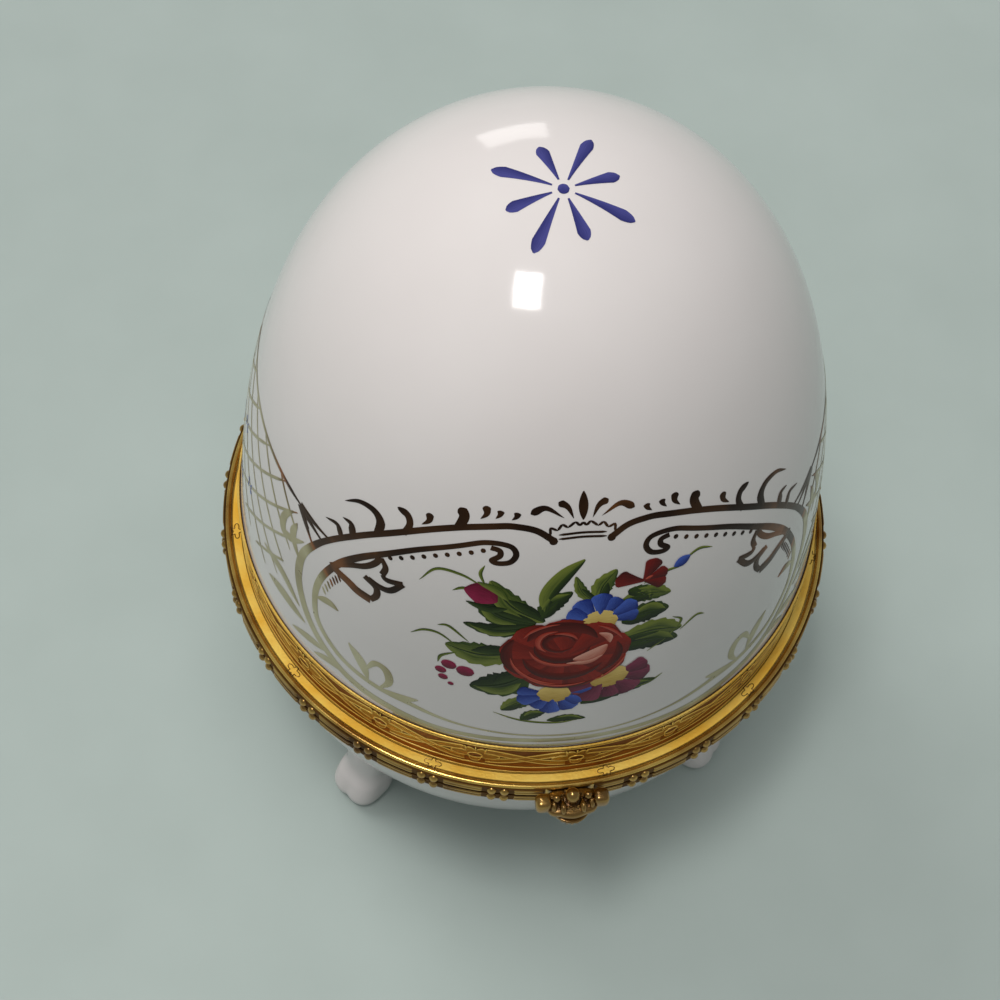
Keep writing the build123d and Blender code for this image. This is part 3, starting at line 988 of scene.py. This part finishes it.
def make_keeper_ribs():
    ribs = Pieces()
    top = Vector((0, KEEPER_LINE, BASE_JOINT))
    bend = (KEEPER_RADIUS ** 2 + KEEPER_DROP ** 2) / (2 * KEEPER_RADIUS)
    end = math.asin(KEEPER_DROP / bend)
    for i in range(KEEPER_RIBS):
        azimuth = 180 + 180 * (i + 0.5) / KEEPER_RIBS
        rib = [top + polar(KEEPER_RADIUS - bend * (1 - math.cos(t)), azimuth, -bend * math.sin(t))
               for t in steps(end * RIB_SPAN[0], end * RIB_SPAN[1], 14)]
        tube(ribs, rib, RIB_RADIUS, taper=True)
    ring = [top + polar(KEEPER_RADIUS, azimuth, -KEEPER_RING_DROP)
            for azimuth in steps(*KEEPER_RING_ENDS, 24)]
    tube(ribs, ring, KEEPER_RING)
    ribs.build("clasp_keeper_ribs", "base", SHADED_BRASS, "brass", sharp=60)


def make_clasp():
    ball_foot = Vector((0, -RIM_RADIUS - BALL_PLACE[0], LID_JOINT + BALL_PLACE[1]))
    make_bow(ball_foot)
    make_knot(ball_foot)
    make_keeper_ribs()


make_dome()
make_bowl()
make_feet()
make_flange("lid_rim", "lid_flange_ring", "lid", 1, SHELL_RADIUS - LID_WALL, NECK_INNER, BRASS)
# The base's rim and beads take the darker brass copy: painted shade.
make_flange("base_rim", "base_flange_ring", "base", -1, SHELL_RADIUS - BOWL_WALL, BASE_NECK_INNER, SHADED_BRASS)
make_moulding("lid_beads", "lid_bead_moulding", "lid", 1, LID_TRIM_HALF, BEAD_BRASS_SHADED)
make_moulding("base_beads", "base_bead_moulding", "base", -1, BASE_TRIM_HALF, SHADED_BRASS)
make_band("neck_band", "lid_neck_band", "lid", NECK_INNER, NECK_OUTER, NECK_FOOT, NECK_TOP)
make_serrated_edge()
make_neck_pattern()
make_ledge_chasing()
make_band("base_neck", "base_neck_band", "base", BASE_NECK_INNER, BASE_NECK_OUTER, BASE_NECK_FOOT,
          BASE_NECK_TOP)
make_clasp()


# Cobalt flower on the apex
APEX_PETALS = 8
APEX_TURN = 149.7
APEX_REACH = (9.4, 7.5)
APEX_START = 1.5
APEX_WIDTH = 2.1
APEX_CROWN = 0.02


def make_apex_flower():
    flower = Pieces()
    for i in range(APEX_PETALS):
        turn = APEX_TURN + i * 360 / APEX_PETALS
        path = [settle(polar(radius, turn, APEX)) for radius in steps(APEX_START, APEX_REACH[i % 2], 20)]
        stroke(flower, path, petal_width(APEX_WIDTH), 0, APEX_CROWN)
    dot = [settle(Vector((x, 0, APEX))) for x in steps(-APEX_START / 2, APEX_START / 2, 8)]
    stroke(flower, dot, dot_width(APEX_START), 0, APEX_CROWN)
    flower.build("apex_flower", "lid", COBALT, "porcelain")


# Gilt panels: the same scrolled frame at the front and the back, trellis between them

# Places are (degrees from the panel's middle, height)
OUTER_LINE = [
    (6.0, 102.3), (9.4, 103.5), (13.2, 103.8), (17.3, 103.5), (25.4, 101.9), (33.3, 99.2), (42.1, 94.8),
    (48.3, 90.6), (52.7, 86.7), (55.6, 83.2), (57.6, 79.8), (58.3, 76.4), (58.0, 72.7), (56.2, 68.8),
    (53.8, 65.6), (50.3, 62.8), (45.3, 60.2), (40.0, 58.8), (34.0, 58.2)]
INNER_LINE = [
    (18.4, 100.2), (16.6, 100.0), (16.4, 99.2), (17.8, 98.3), (16.6, 98.0), (14.2, 98.5), (13.2, 99.8),
    (14.6, 100.9), (18.8, 100.9), (23.1, 99.8), (32.4, 96.3), (40.2, 91.9), (45.1, 88.3), (48.8, 84.4),
    (51.6, 79.8), (52.9, 75.7), (53.0, 72.0), (52.1, 68.5), (49.3, 65.6), (44.7, 63.2), (38.0, 62.0),
    (30.0, 61.8)]
# The frame's two lines: places, samples, first and last width, shares of the length between which it grows
FRAME_LINES = [(OUTER_LINE, 170, (0.95, 1.6, 0.45, 0.62)), (INNER_LINE, 230, (0.8, 1.15, 0.45, 0.6))]
# Leaves on the frame's outer line, from the corner inwards: width shape, width, places along it
FRAME_LEAVES = [
    (thorn_width, 1.0, [(49.3, 90.0), (50.9, 91.5), (54.0, 90.9)]),
    (thorn_width, 1.2, [(47.0, 91.9), (47.8, 93.5), (50.1, 93.5)]),
    (thorn_width, 1.35, [(41.8, 95.0), (41.7, 97.1), (43.9, 98.2), (47.5, 97.9), (50.7, 96.3)]),
    (club_width, 1.15, [(39.1, 100.8), (36.6, 100.5), (35.6, 99.3), (36.4, 97.5)]),
    (comma_width, 1.0, [(32.1, 102.3), (31.9, 101.2), (33.2, 100.2)]),
    (club_width, 1.55, [(26.2, 104.6), (24.9, 103.6), (25.7, 101.7)]),
    (comma_width, 1.0, [(20.8, 105.8), (20.4, 104.8), (21.5, 103.9)]),
    (comma_width, 0.85, [(17.5, 105.6), (17.6, 105.0), (18.4, 104.4)]),
    (comma_width, 0.85, [(13.9, 105.7), (14.1, 105.1), (15.0, 104.6)]),
]
# Three-lobed leaf in the frame's corner: width and places of each stroke, from one point or notch to the next
ACANTHUS = [
    (0.95, [(50.4, 83.2), (46.1, 86.2), (42.9, 88.0), (40.9, 89.7), (39.7, 91.5)]),
    (0.95, [(39.7, 91.5), (38.4, 90.2), (38.8, 88.6)]),
    (0.95, [(38.8, 88.6), (37.6, 88.1), (34.2, 88.9)]),
    (1.1, [(34.2, 88.9), (36.4, 86.6), (38.6, 86.0), (41.5, 86.2)]),
    (1.7, [(50.4, 83.2), (46.0, 82.8), (43.4, 82.3), (40.3, 82.3)]),
    (1.1, [(40.3, 82.3), (39.2, 83.9), (39.6, 85.4), (42.4, 86.2)]),
]
# Olive leaves outside the frame, then leaves and scrolls inside its foot: width, places
OLIVE_LEAVES = [
    (1.7, [(62.6, 85.2), (65.0, 81.8), (64.6, 79.0), (61.6, 79.6), (58.0, 82.0)]),
    (1.5, [(60.8, 84.0), (61.4, 80.6), (58.6, 77.2)]),
    (2.0, [(57.0, 66.4), (63.3, 69.2), (70.8, 68.6)]),
    (2.4, [(55.0, 63.8), (61.7, 64.4), (67.8, 63.4)]),
    (1.7, [(49.0, 61.6), (53.5, 60.8), (58.6, 59.2)]),
    (1.5, [(43.5, 60.0), (48.0, 59.8), (52.0, 58.4)]),
    (1.5, [(52.6, 73.2), (49.5, 74.7), (46.9, 74.6)]),
    (1.9, [(38.8, 62.6), (40.8, 66.2), (43.8, 68.8)]),
    (1.5, [(39.6, 64.8), (37.6, 67.9), (35.2, 67.6), (34.4, 64.8), (36.4, 61.8)]),
    (1.7, [(36.4, 61.9), (32.4, 62.2), (28.2, 63.6)]),
]
# Lines along the frame's foot: first width, last width, places
FOOT_LINES = [
    (1.6, 1.0, [(34.0, 58.2), (26.0, 57.9), (17.0, 58.2), (8.0, 58.6), (0.0, 58.7)]),
    (1.1, 0.4, [(30.0, 61.8), (22.0, 60.8), (13.0, 60.3), (6.0, 60.1), (0.0, 60.1)]),
    (0.7, 0.7, [(33.0, 57.1), (20.0, 56.9), (9.0, 57.1), (0.0, 57.2)]),
]
DOTS = 9
DOT_SIZE = 0.72
DOT_LINE = [(19.8, 99.5), (29.0, 96.4), (37.9, 92.4)]
HATCHES = 7
HATCH_WIDTH = 0.42
HATCH_LINE = [(48.7, 83.0), (50.3, 80.6), (51.8, 77.4)]
HATCH_STEPS = [Vector((-0.3, -0.4)), Vector((-1.3, -1.6))]
CORNER_KNOT = (61.0, 88.0)
CORNER_RAYS = [(51.9, 87.6), (53.4, 86.0), (57.6, 85.6), (55.6, 83.4)]
# Palmette over a small coronet at the panel's top
CREST_DOT = (6.0, 102.2)
CREST_DOT_SIZE = 1.2
CREST_COMMAS = [(0.95, 14, [(5.5, 107.4), (3.4, 106.8), (2.0, 105.3)]),
                (1.0, 16, [(11.2, 105.7), (8.1, 106.6), (4.0, 105.4)])]
CREST_LEAF = [(0, 105.1), (0, 108.7)]
CREST_LEAF_WIDTH = 1.2
CORONET_BANDS = (102.5, 103.1)
CORONET_RISE = 0.25
CORONET_HALF = 5.0
CORONET_WIDTH = 0.36
CORONET_POINTS = [(6.7, 103.0), (6.9, 104.1), (5.3, 103.7), (4.4, 104.6), (3.2, 104.1), (1.6, 104.9),
                  (0.7, 104.3), (0.0, 104.8)]
DOME_DEGREE = 0.65  # millimetres for a degree round the dome at the panels, about


def gild_side(gold, shift, mirror):
    """One half of a panel's frame and crest."""
    def line(places, count, width):
        stroke(gold, panel_path(places, count, shift, mirror), width)

    def dot(place, size):
        half = size / (2 * DOME_DEGREE)
        line([(place[0] - half, place[1]), (place[0] + half, place[1])], 9, dot_width(size))

    for places, count, growth in FRAME_LINES:
        line(places, count, growing_width(*growth))
    for shape, width, places in FRAME_LEAVES:
        line(places, 22, shape(width))
    for place in smooth(DOT_LINE, DOTS):
        dot(place, DOT_SIZE)
    for place in smooth(HATCH_LINE, HATCHES):
        line([place + step for step in HATCH_STEPS], 6, line_width(HATCH_WIDTH))
    for width, places in ACANTHUS:
        line(places, 26, growing_width(0.8 * width, width, 0.0, 0.5))
    for width, places in OLIVE_LEAVES:
        line(places, 30, leaf_width(width))
    for first, last, places in FOOT_LINES:
        line(places, 50, growing_width(first, last, 0.0, 0.35))
    for ray in CORNER_RAYS:
        line([CORNER_KNOT, ray], 12, growing_width(1.5, 0.5, 0.0, 0.8))
    dot(CREST_DOT, CREST_DOT_SIZE)
    for width, count, places in CREST_COMMAS:
        line(places, count, comma_width(width))
    for first, last in zip(CORONET_POINTS, CORONET_POINTS[1:]):
        line([first, last], 5, line_width(CORONET_WIDTH))


def gild_crest_middle(gold, shift):
    """The coronet's bands and the leaf over them."""
    for height in CORONET_BANDS:
        band = [(-CORONET_HALF, height), (0, height + CORONET_RISE), (CORONET_HALF, height)]
        stroke(gold, panel_path(band, 24, shift), line_width(CORONET_WIDTH))
    stroke(gold, panel_path(CREST_LEAF, 16, shift), leaf_width(CREST_LEAF_WIDTH))


TRELLIS_HALF = 29.0
TRELLIS_END = 30.4  # of the arch, which runs on to the panels' corner knots
TRELLIS_SPACING = 8.8  # degrees between lines along the same height
TRELLIS_TOP = 88.0
TRELLIS_ARCH = 0.8
TRELLIS_OVER = 1.0  # lines start this far above the top, then the arch cuts them
TRELLIS_TAPER = 0.35  # degrees lost for a millimetre below the shoulder
TRELLIS_SHOULDER = 78.0
TRELLIS_MIDDLE = 72.0
TRELLIS_FOOT = 64.0
TRELLIS_SLOPE = 0.70  # millimetres of height for a degree
TRELLIS_LINES = 9  # to either side of the middle
TRELLIS_LEAST = 6  # a line with no more points than this inside is left out
TRELLIS_WIDTH = 0.5
ARCH_WIDTH = 0.8
FLORET_PLACES = ((0.0, 78.2), (-8.8, 72.0), (8.8, 72.0), (0.0, 65.8))
FLORET_PETAL = [(0.25, 0), (1.35, 0)]
FLORET_WIDTH = 0.95


def trellis_top(azimuth):
    return TRELLIS_TOP + TRELLIS_ARCH * math.cos(math.radians(3 * azimuth))


def in_trellis(azimuth, height):
    taper = max(0.0, TRELLIS_SHOULDER - height)
    return abs(azimuth) < TRELLIS_HALF - TRELLIS_TAPER * taper and height < trellis_top(azimuth)


def trellis(gold, centre):
    """Diagonal trellis between two panels, under a flat arch."""
    arch = [(centre + a, trellis_top(a)) for a in (-TRELLIS_END, -20, -10, 0, 10, 20, TRELLIS_END)]
    stroke(gold, panel_path(arch, 60), line_width(ARCH_WIDTH))
    heights = steps(TRELLIS_FOOT, TRELLIS_TOP + TRELLIS_OVER, 90)
    for lean in (-1, 1):
        for i in range(-TRELLIS_LINES, TRELLIS_LINES + 1):
            run = [(i * TRELLIS_SPACING + lean * (h - TRELLIS_MIDDLE) / TRELLIS_SLOPE, h) for h in heights]
            run = [on_dome(centre + a, h) for a, h in run if in_trellis(a, h)]
            if len(run) > TRELLIS_LEAST:
                stroke(gold, run, line_width(TRELLIS_WIDTH))


def trellis_florets(florets, centre):
    """Small blue florets where trellis lines cross."""
    for azimuth, height in FLORET_PLACES:
        for turn in (45, 135, 225, 315):
            petal = motif_path((centre + azimuth, height), FLORET_PETAL, 9, turn)
            stroke(florets, petal, petal_width(FLORET_WIDTH), 1)


def make_gilding():
    gold = Pieces()
    florets = Pieces()
    for shift in (PANEL_SHIFT, PANEL_SHIFT + 180):
        gild_crest_middle(gold, shift)
        for mirror in (-1, 1):
            gild_side(gold, shift, mirror)
    for centre in (PANEL_SHIFT - 90, PANEL_SHIFT + 90):
        trellis(gold, centre)
        trellis_florets(florets, centre)
    gold.build("gilt_panels", "lid", GOLD, "brass")
    florets.build("trellis_florets", "lid", BLUE, "porcelain")


# Flower spray

# The rose, in shares of its radius
ROSE_LOBES = (10, 48, 92, 136, 172, 206, 246, 292, 334)  # degrees
ROSE_LOBE_REACH = 0.97
ROSE_LOBE_WIDTH = 0.95
ROSE_WIDE = 1.12  # width of the rose for its height
# Arcs: size, first and last angle, width, how far up and how far right
ROSE_FOLDS = [
    (0.86, 152, 222, 0.20, 0.0, 0.0), (0.62, 190, 330, 0.20, 0.02, 0.0), (0.70, -52, 20, 0.16, 0.0, 0.08),
    (0.90, 240, 300, 0.12, 0.0, 0.0), (0.52, 20, 165, 0.26, 0.26, -0.06), (0.40, 180, 352, 0.16, 0.28, -0.06),
    (0.22, 10, 330, 0.10, 0.36, -0.10)]
ROSE_RIMS = [
    (0.80, 186, 262, 0.07, -0.02, 0.0), (0.74, 222, 296, 0.06, -0.14, 0.0), (0.92, 300, 348, 0.06, 0.0, 0.0),
    (0.50, 192, 318, 0.08, 0.24, -0.04), (0.30, 95, 235, 0.09, 0.38, -0.12),
    (0.26, 20, 110, 0.07, 0.36, -0.10), (0.60, 96, 160, 0.06, 0.26, -0.06), (0.84, 20, 62, 0.06, 0.02, 0.02)]
# Pale petals turned to the light: width, points
ROSE_LIT = [
    (0.30, [(0.12, -0.10), (0.42, -0.04), (0.66, 0.22)]), (0.13, [(0.50, 0.56), (0.66, 0.44), (0.70, 0.26)]),
    (0.12, [(0.02, -0.20), (0.36, -0.20), (0.60, -0.06)])]
DAISY_OVERLAP = 1.35  # width of a petal for its share of the sweep
DAISY_UNEVEN = 0.08
DAISY_EYE = 0.85
LEAF_BEND = 0.1
LEAF_TEETH = 6


class Spray:
    """One painted bouquet, kept as one set of strokes per colour."""

    def __init__(self, shift):
        self.shift = shift
        self.colours = {}

    def brush(self, material, place, points, width, layer=0, turn=0.0, count=14):
        pieces = self.colours.setdefault(material.name, (material, Pieces()))[1]
        stroke(pieces, motif_path((self.shift + place[0], place[1]), points, count, turn), width, layer)

    def leaf(self, base, tip, width, blade):
        """Toothed leaf with a lit side, a shaded side and a vein, from its base to its tip."""
        right = math.radians(tip[0] - base[0]) * dome_radius((base[1] + tip[1]) / 2)
        up = math.copysign((on_dome(base[0], tip[1]) - on_dome(*base)).length, tip[1] - base[1])
        length = math.hypot(right, up)
        turn = math.degrees(math.atan2(up, right))
        bend = length * LEAF_BEND
        spine = [(0, 0), (length * 0.5, bend), (length, 0)]
        lit = [(length * 0.25, bend + 0.10 * width), (length * 0.6, bend + 0.22 * width), (length * 0.94, 0)]
        shade = [(0, -0.05 * width), (length * 0.3, bend * 0.5 - 0.14 * width),
                 (length * 0.62, bend - 0.12 * width)]
        self.brush(blade, base, spine, toothed_width(width, LEAF_TEETH), 0, turn, 25)
        self.brush(LEAF_LIGHT, base, lit, leaf_width(width * 0.34), 1, turn)
        self.brush(LEAF_DARK, base, shade, leaf_width(width * 0.45), 1, turn)
        self.brush(LEAF_DARK, base, spine, leaf_width(width * 0.07), 2, turn)

    def disc(self, material, place, size, layer):
        """Round spot, a little wider than tall."""
        self.brush(material, place, [(-size * 0.55, 0), (size * 0.55, 0)], dot_width(size), layer, 0.0, 11)

    def daisy(self, place, radius, material, petals, start, sweep, layer=3):
        """Petals over part of a turn, uneven in length, around a yellow eye."""
        width = DAISY_OVERLAP * math.radians(sweep) * radius / petals
        for i in range(petals):
            turn = start + sweep * (i + 0.5) / petals
            reach = radius * (1 + DAISY_UNEVEN * math.sin(2.3 * i))
            petal = [(radius * 0.2, 0), (reach, 0.05 * radius * (-1) ** i)]
            self.brush(material, place, petal, petal_width(width), layer + i % 2, turn)
        self.disc(YELLOW, place, radius * DAISY_EYE, layer + 2)

    def rose(self, place, radius, layer):
        """Cabbage rose: lobed ground, shaded folds, lit rims and pale petals turned to the light."""
        for lobe in ROSE_LOBES:
            tip = polar(radius * ROSE_LOBE_REACH, lobe, 0)
            self.brush(ROSE_MID, place, [(0, 0), (ROSE_WIDE * tip.x, tip.y)],
                       petal_width(radius * ROSE_LOBE_WIDTH), layer)
        for material, arcs, lift in ((ROSE_DARK, ROSE_FOLDS, 2), (ROSE_LIGHT, ROSE_RIMS, 4)):
            for size, first, last, width, rise, slide in arcs:
                arc = []
                for turn in steps(first, last, 6):
                    point = polar(size, turn, 0)
                    arc.append((ROSE_WIDE * radius * (point.x + slide), radius * (point.y + rise)))
                self.brush(material, place, arc, leaf_width(radius * width), layer + lift)
        for width, points in ROSE_LIT:
            petal = [(radius * x, radius * y) for x, y in points]
            self.brush(SALMON, place, petal, leaf_width(radius * width), layer + 5)

    def build(self, name):
        for colour, (material, pieces) in self.colours.items():
            pieces.build(f"{name}_{colour}", "lid", material, "porcelain")


# Leaves of the spray: base, tip, width, colour
SPRAY_LEAVES = [
    ((-11.0, 81.4), (-24.6, 80.4), 5.4, LEAF_LIGHT), ((-8.0, 77.0), (-19.0, 71.8), 6.0, LEAF_DARK),
    ((-8.0, 87.6), (-21.8, 86.0), 2.9, LEAF_DARK), ((-6.5, 88.4), (-17.4, 94.9), 4.2, LEAF_LIGHT),
    ((-8.0, 88.0), (-20.0, 91.0), 4.2, LEAF_DARK), ((-7.4, 89.0), (-1.6, 94.0), 3.0, LEAF_DARK),
    ((3.4, 91.6), (-1.0, 96.6), 1.7, LEAF_LIGHT), ((3.4, 91.6), (7.0, 97.0), 3.0, LEAF_LIGHT),
    ((8.4, 91.4), (18.4, 90.2), 3.2, LEAF_LIGHT), ((8.4, 87.0), (18.0, 87.2), 4.2, LEAF_DARK),
    ((7.6, 83.4), (21.2, 81.6), 4.6, LEAF_LIGHT), ((7.6, 81.6), (20.4, 79.6), 4.2, LEAF_DARK),
    ((2.0, 68.8), (16.6, 70.9), 3.6, LEAF_DARK), ((-12.6, 66.9), (-6.0, 70.4), 3.0, LEAF_LIGHT),
    ((-3.9, 64.6), (3.3, 64.5), 2.0, LEAF_DARK), ((-8.8, 64.6), (-4.4, 67.0), 2.4, LEAF_DARK),
    ((9.6, 93.0), (14.2, 90.2), 2.8, LEAF_DARK),
]
# Stems and tendrils: place, then millimetres from it
SPRAY_STEMS = [
    ((-18.6, 93.6), [(0, 0), (-3.0, 1.2), (-6.4, 0.8), (-8.6, -2.4)]),
    ((-18.4, 94.0), [(0, 0), (-0.8, 1.8), (-0.4, 3.4)]), ((-19.4, 92.4), [(0, 0), (-2.0, 0.2), (-3.4, -0.8)]),
    ((-22.0, 80.6), [(0, 0), (-2.6, 1.6), (-4.8, 1.2), (-6.6, -0.6)]),
    ((-22.0, 79.2), [(0, 0), (-2.0, -1.8), (-2.4, -3.6)]),
    ((-20.0, 82.2), [(0, 0), (-2.8, 2.2), (-4.4, 1.8)]),
    ((12.6, 93.4), [(0, 0), (3.0, 1.0), (5.6, 0.8)]), ((20.6, 94.8), [(0, 0), (2.6, 1.0), (4.8, 0.0)]),
    ((20.6, 81.0), [(0, 0), (2.4, 1.6), (3.8, 1.0)]),
    ((14.0, 78.8), [(0, 0), (3.0, 2.0), (4.8, 4.4), (3.4, 6.0)]),
    ((-14.0, 66.0), [(0, 0), (4.0, -1.6), (9.0, -2.2), (12.4, -1.6)]),
    ((11.5, 70.2), [(0, 0), (2.6, 0.2), (4.6, 1.4)]),
]
STEM_WIDTH = 0.5
# Daisies: place, radius, colour, petals, first angle, sweep
DAISIES = [((4.1, 88.0), 5.2, BLUE, 7, -14, 210), ((-3.2, 71.9), 5.0, BLUE, 7, 158, 220),
           ((6.8, 74.9), 6.0, PLUM, 6, 190, 205)]
ROSE_PLACE = (-1.8, 81.2)
ROSE_RADIUS = 8.2
# Single strokes: colour, place, points, width, layer, samples
BLADE, BUD, WINE_FLOWER, BLUE_BUD = (-6.6, 90.0), (-14.8, 91.4), (12.6, 94.0), (19.0, 94.6)
BLADE_STROKES = [
    (LEAF_LIGHT, BLADE, [(0, 0), (0.2, 3.6), (2.2, 7.2), (4.6, 9.6)], 2.3, 0, 24),
    (LEAF_DARK, BLADE, [(0.4, 0), (0.8, 3.4), (2.6, 6.8), (4.6, 9.4)], 1.0, 1, 24)]
BUD_STROKES = [
    (MAGENTA, BUD, [(-0.6, 0), (-2.6, 1.0), (-5.0, 1.2)], 4.0, 3, 14),
    (LEAF_DARK, BUD, [(0.8, -1.0), (-1.6, -1.6), (-4.6, -1.0)], 1.3, 4, 14),
    (LEAF_LIGHT, BUD, [(0.8, 0.6), (-0.8, 2.2), (-3.4, 3.0)], 1.3, 4, 14)]
TIP_STROKES = [
    (ROSE_LIGHT, WINE_FLOWER, [(0.2, 0.2), (1.2, 0.5)], 0.5, 5, 14),
    (BLUE, BLUE_BUD, [(0, 0), (2.4, 0.9)], 1.7, 3, 14)]
WINE_PETALS = ((158, 4.0, 3.6), (62, 3.8, 3.2), (12, 3.4, 2.8), (-28, 3.4, 2.6))  # turn, reach, width
BERRIES = [(-23.2, 75.8, 2.0), (-20.0, 75.2, 2.3), (-24.6, 74.0, 1.5), (-24.0, 72.4, 1.3), (-22.4, 71.2, 0.8)]


def make_spray(name, shift):
    spray = Spray(shift)

    def single(strokes):
        for material, place, points, width, layer, count in strokes:
            spray.brush(material, place, points, leaf_width(width), layer, count=count)

    for leaf in SPRAY_LEAVES:
        spray.leaf(*leaf)
    single(BLADE_STROKES)
    for place, points in SPRAY_STEMS:
        spray.brush(LEAF_LIGHT, place, points, leaf_width(STEM_WIDTH), count=22)
    for daisy in DAISIES:
        spray.daisy(*daisy)
    spray.rose(ROSE_PLACE, ROSE_RADIUS, 7)
    single(BUD_STROKES)
    for turn, reach, width in WINE_PETALS:
        spray.brush(WINE, WINE_FLOWER, [(0, 0), (reach, 0)], petal_width(width), 3, turn)
    single(TIP_STROKES)
    for azimuth, height, size in BERRIES:
        spray.disc(MAGENTA, (azimuth, height), size, 2)
    spray.build(name)


make_apex_flower()
make_gilding()
make_spray("spray_front", PANEL_SHIFT)
make_spray("spray_back", PANEL_SHIFT + 180)


# Stage, light and camera
WORLD_LEVEL = 0.4
WORLD_HIGH = (0.48, 0.49, 0.50)
WORLD_LOW = (0.714, 0.827, 0.784)  # the floor's own tone far off
WORLD_BLEND = (0.05, 0.35)  # sines of the heights above the horizon between which one turns into the other
FLOOR_REACH = 40.0
FLOOR_TONES = [(0.3, (0.415, 0.490, 0.462)), (0.7, (0.440, 0.518, 0.490))]
FLOOR_BOUNCE = (0.20, 0.235, 0.22, 1.0)  # the floor's tone for scattered light
LAMP_COLOUR = (1.0, 0.97, 0.95)


def floor_paper():
    """Pale paper, which scattered light finds darker than the camera and the reflections do."""
    paper = Surface("floor_paper")
    rays = paper.add("LightPath").outputs
    mirrored = paper.calculate("MAXIMUM", rays["Is Glossy Ray"], rays["Is Transmission Ray"])
    seen = paper.calculate("MAXIMUM", rays["Is Camera Ray"], mirrored)
    tone = paper.ramp(paper.grain(40.0), FLOOR_TONES)
    return paper.finish(Base_Color=paper.mix(seen, FLOOR_BOUNCE, tone), Roughness=0.9)


def make_floor():
    corners = [(x * FLOOR_REACH, y * FLOOR_REACH, 0) for x, y in ((-1, -1), (1, -1), (1, 1), (-1, 1))]
    mesh = bpy.data.meshes.new("floor")
    mesh.from_pydata(corners, [], [(0, 1, 2, 3)])
    mesh.materials.append(floor_paper())
    floor = add_object("floor", mesh)


def make_lamp(name, kind, power, direction, distance=1.0, roll=0.0):
    """Lamp in a direction from the egg's middle, facing it."""
    lamp = bpy.data.lights.new(name, kind)
    lamp.energy = power
    lamp.color = LAMP_COLOUR
    obj = add_object(name, lamp)
    outward = Vector(direction).normalized()
    obj.location = upright(APEX / 2 * MM) + outward * distance
    facing = (-outward).to_track_quat("-Z", "Y").to_matrix() @ Matrix.Rotation(math.radians(roll), 3, "Z")
    obj.rotation_euler = facing.to_euler()
    return obj


def make_panel(name, power, size, direction, distance, roll=0.0):
    """Rectangular lamp that shows in the gloss."""
    lamp = make_lamp(name, "AREA", power, direction, distance, roll).data
    lamp.shape = "RECTANGLE"
    lamp.size, lamp.size_y = size


def make_wash(name, power, spread, direction):
    """Broad even light from far off, which doesn't show in the gloss."""
    wash = make_lamp(name, "SUN", power, direction)
    wash.data.angle = math.radians(spread)
    wash.visible_glossy = False


def make_world():
    """Soft surround that meets the far floor without an edge."""
    world = bpy.data.worlds.new("studio")
    bpy.context.scene.world = world
    world.use_nodes = True
    sky = Nodes(world.node_tree)
    height = sky.parts(sky.coords("Generated"))["Z"]
    tone = sky.ramp(height, list(zip(WORLD_BLEND, (WORLD_LOW, WORLD_HIGH))))
    sky.put(sky.nodes["Background"], Color=tone, Strength=WORLD_LEVEL)


def make_camera():
    camera = bpy.data.cameras.new("camera")
    camera.lens = CAMERA_LENS
    camera.sensor_width = CAMERA_SENSOR
    obj = add_object("camera", camera)
    obj.matrix_world = Matrix.Translation(CAMERA_PLACE * MM)
    for angle, axis in ((CAMERA_YAW, "Z"), (CAMERA_TILT, "X"), (CAMERA_ROLL, "Z")):
        obj.matrix_world = obj.matrix_world @ Matrix.Rotation(math.radians(angle), 4, axis)
    bpy.context.scene.camera = obj


make_floor()
make_world()
make_panel("overhead", 1.4, size=(0.13, 0.17), direction=(-0.2, -0.14, 0.97), distance=0.7, roll=40.0)
make_panel("window", 0.5, size=(0.3, 0.2), direction=(-0.02, 1.0, 0.33), distance=1.0)
make_wash("top", 0.84, spread=36.0, direction=(0.0, -0.08, 0.99))
make_wash("key", 0.86, spread=28.0, direction=(-0.45, 0.5, 0.75))
make_wash("left", 0.22, spread=36.0, direction=(-0.9, -0.35, 0.5))
make_camera()
bpy.context.scene.view_settings.view_transform = "Standard"
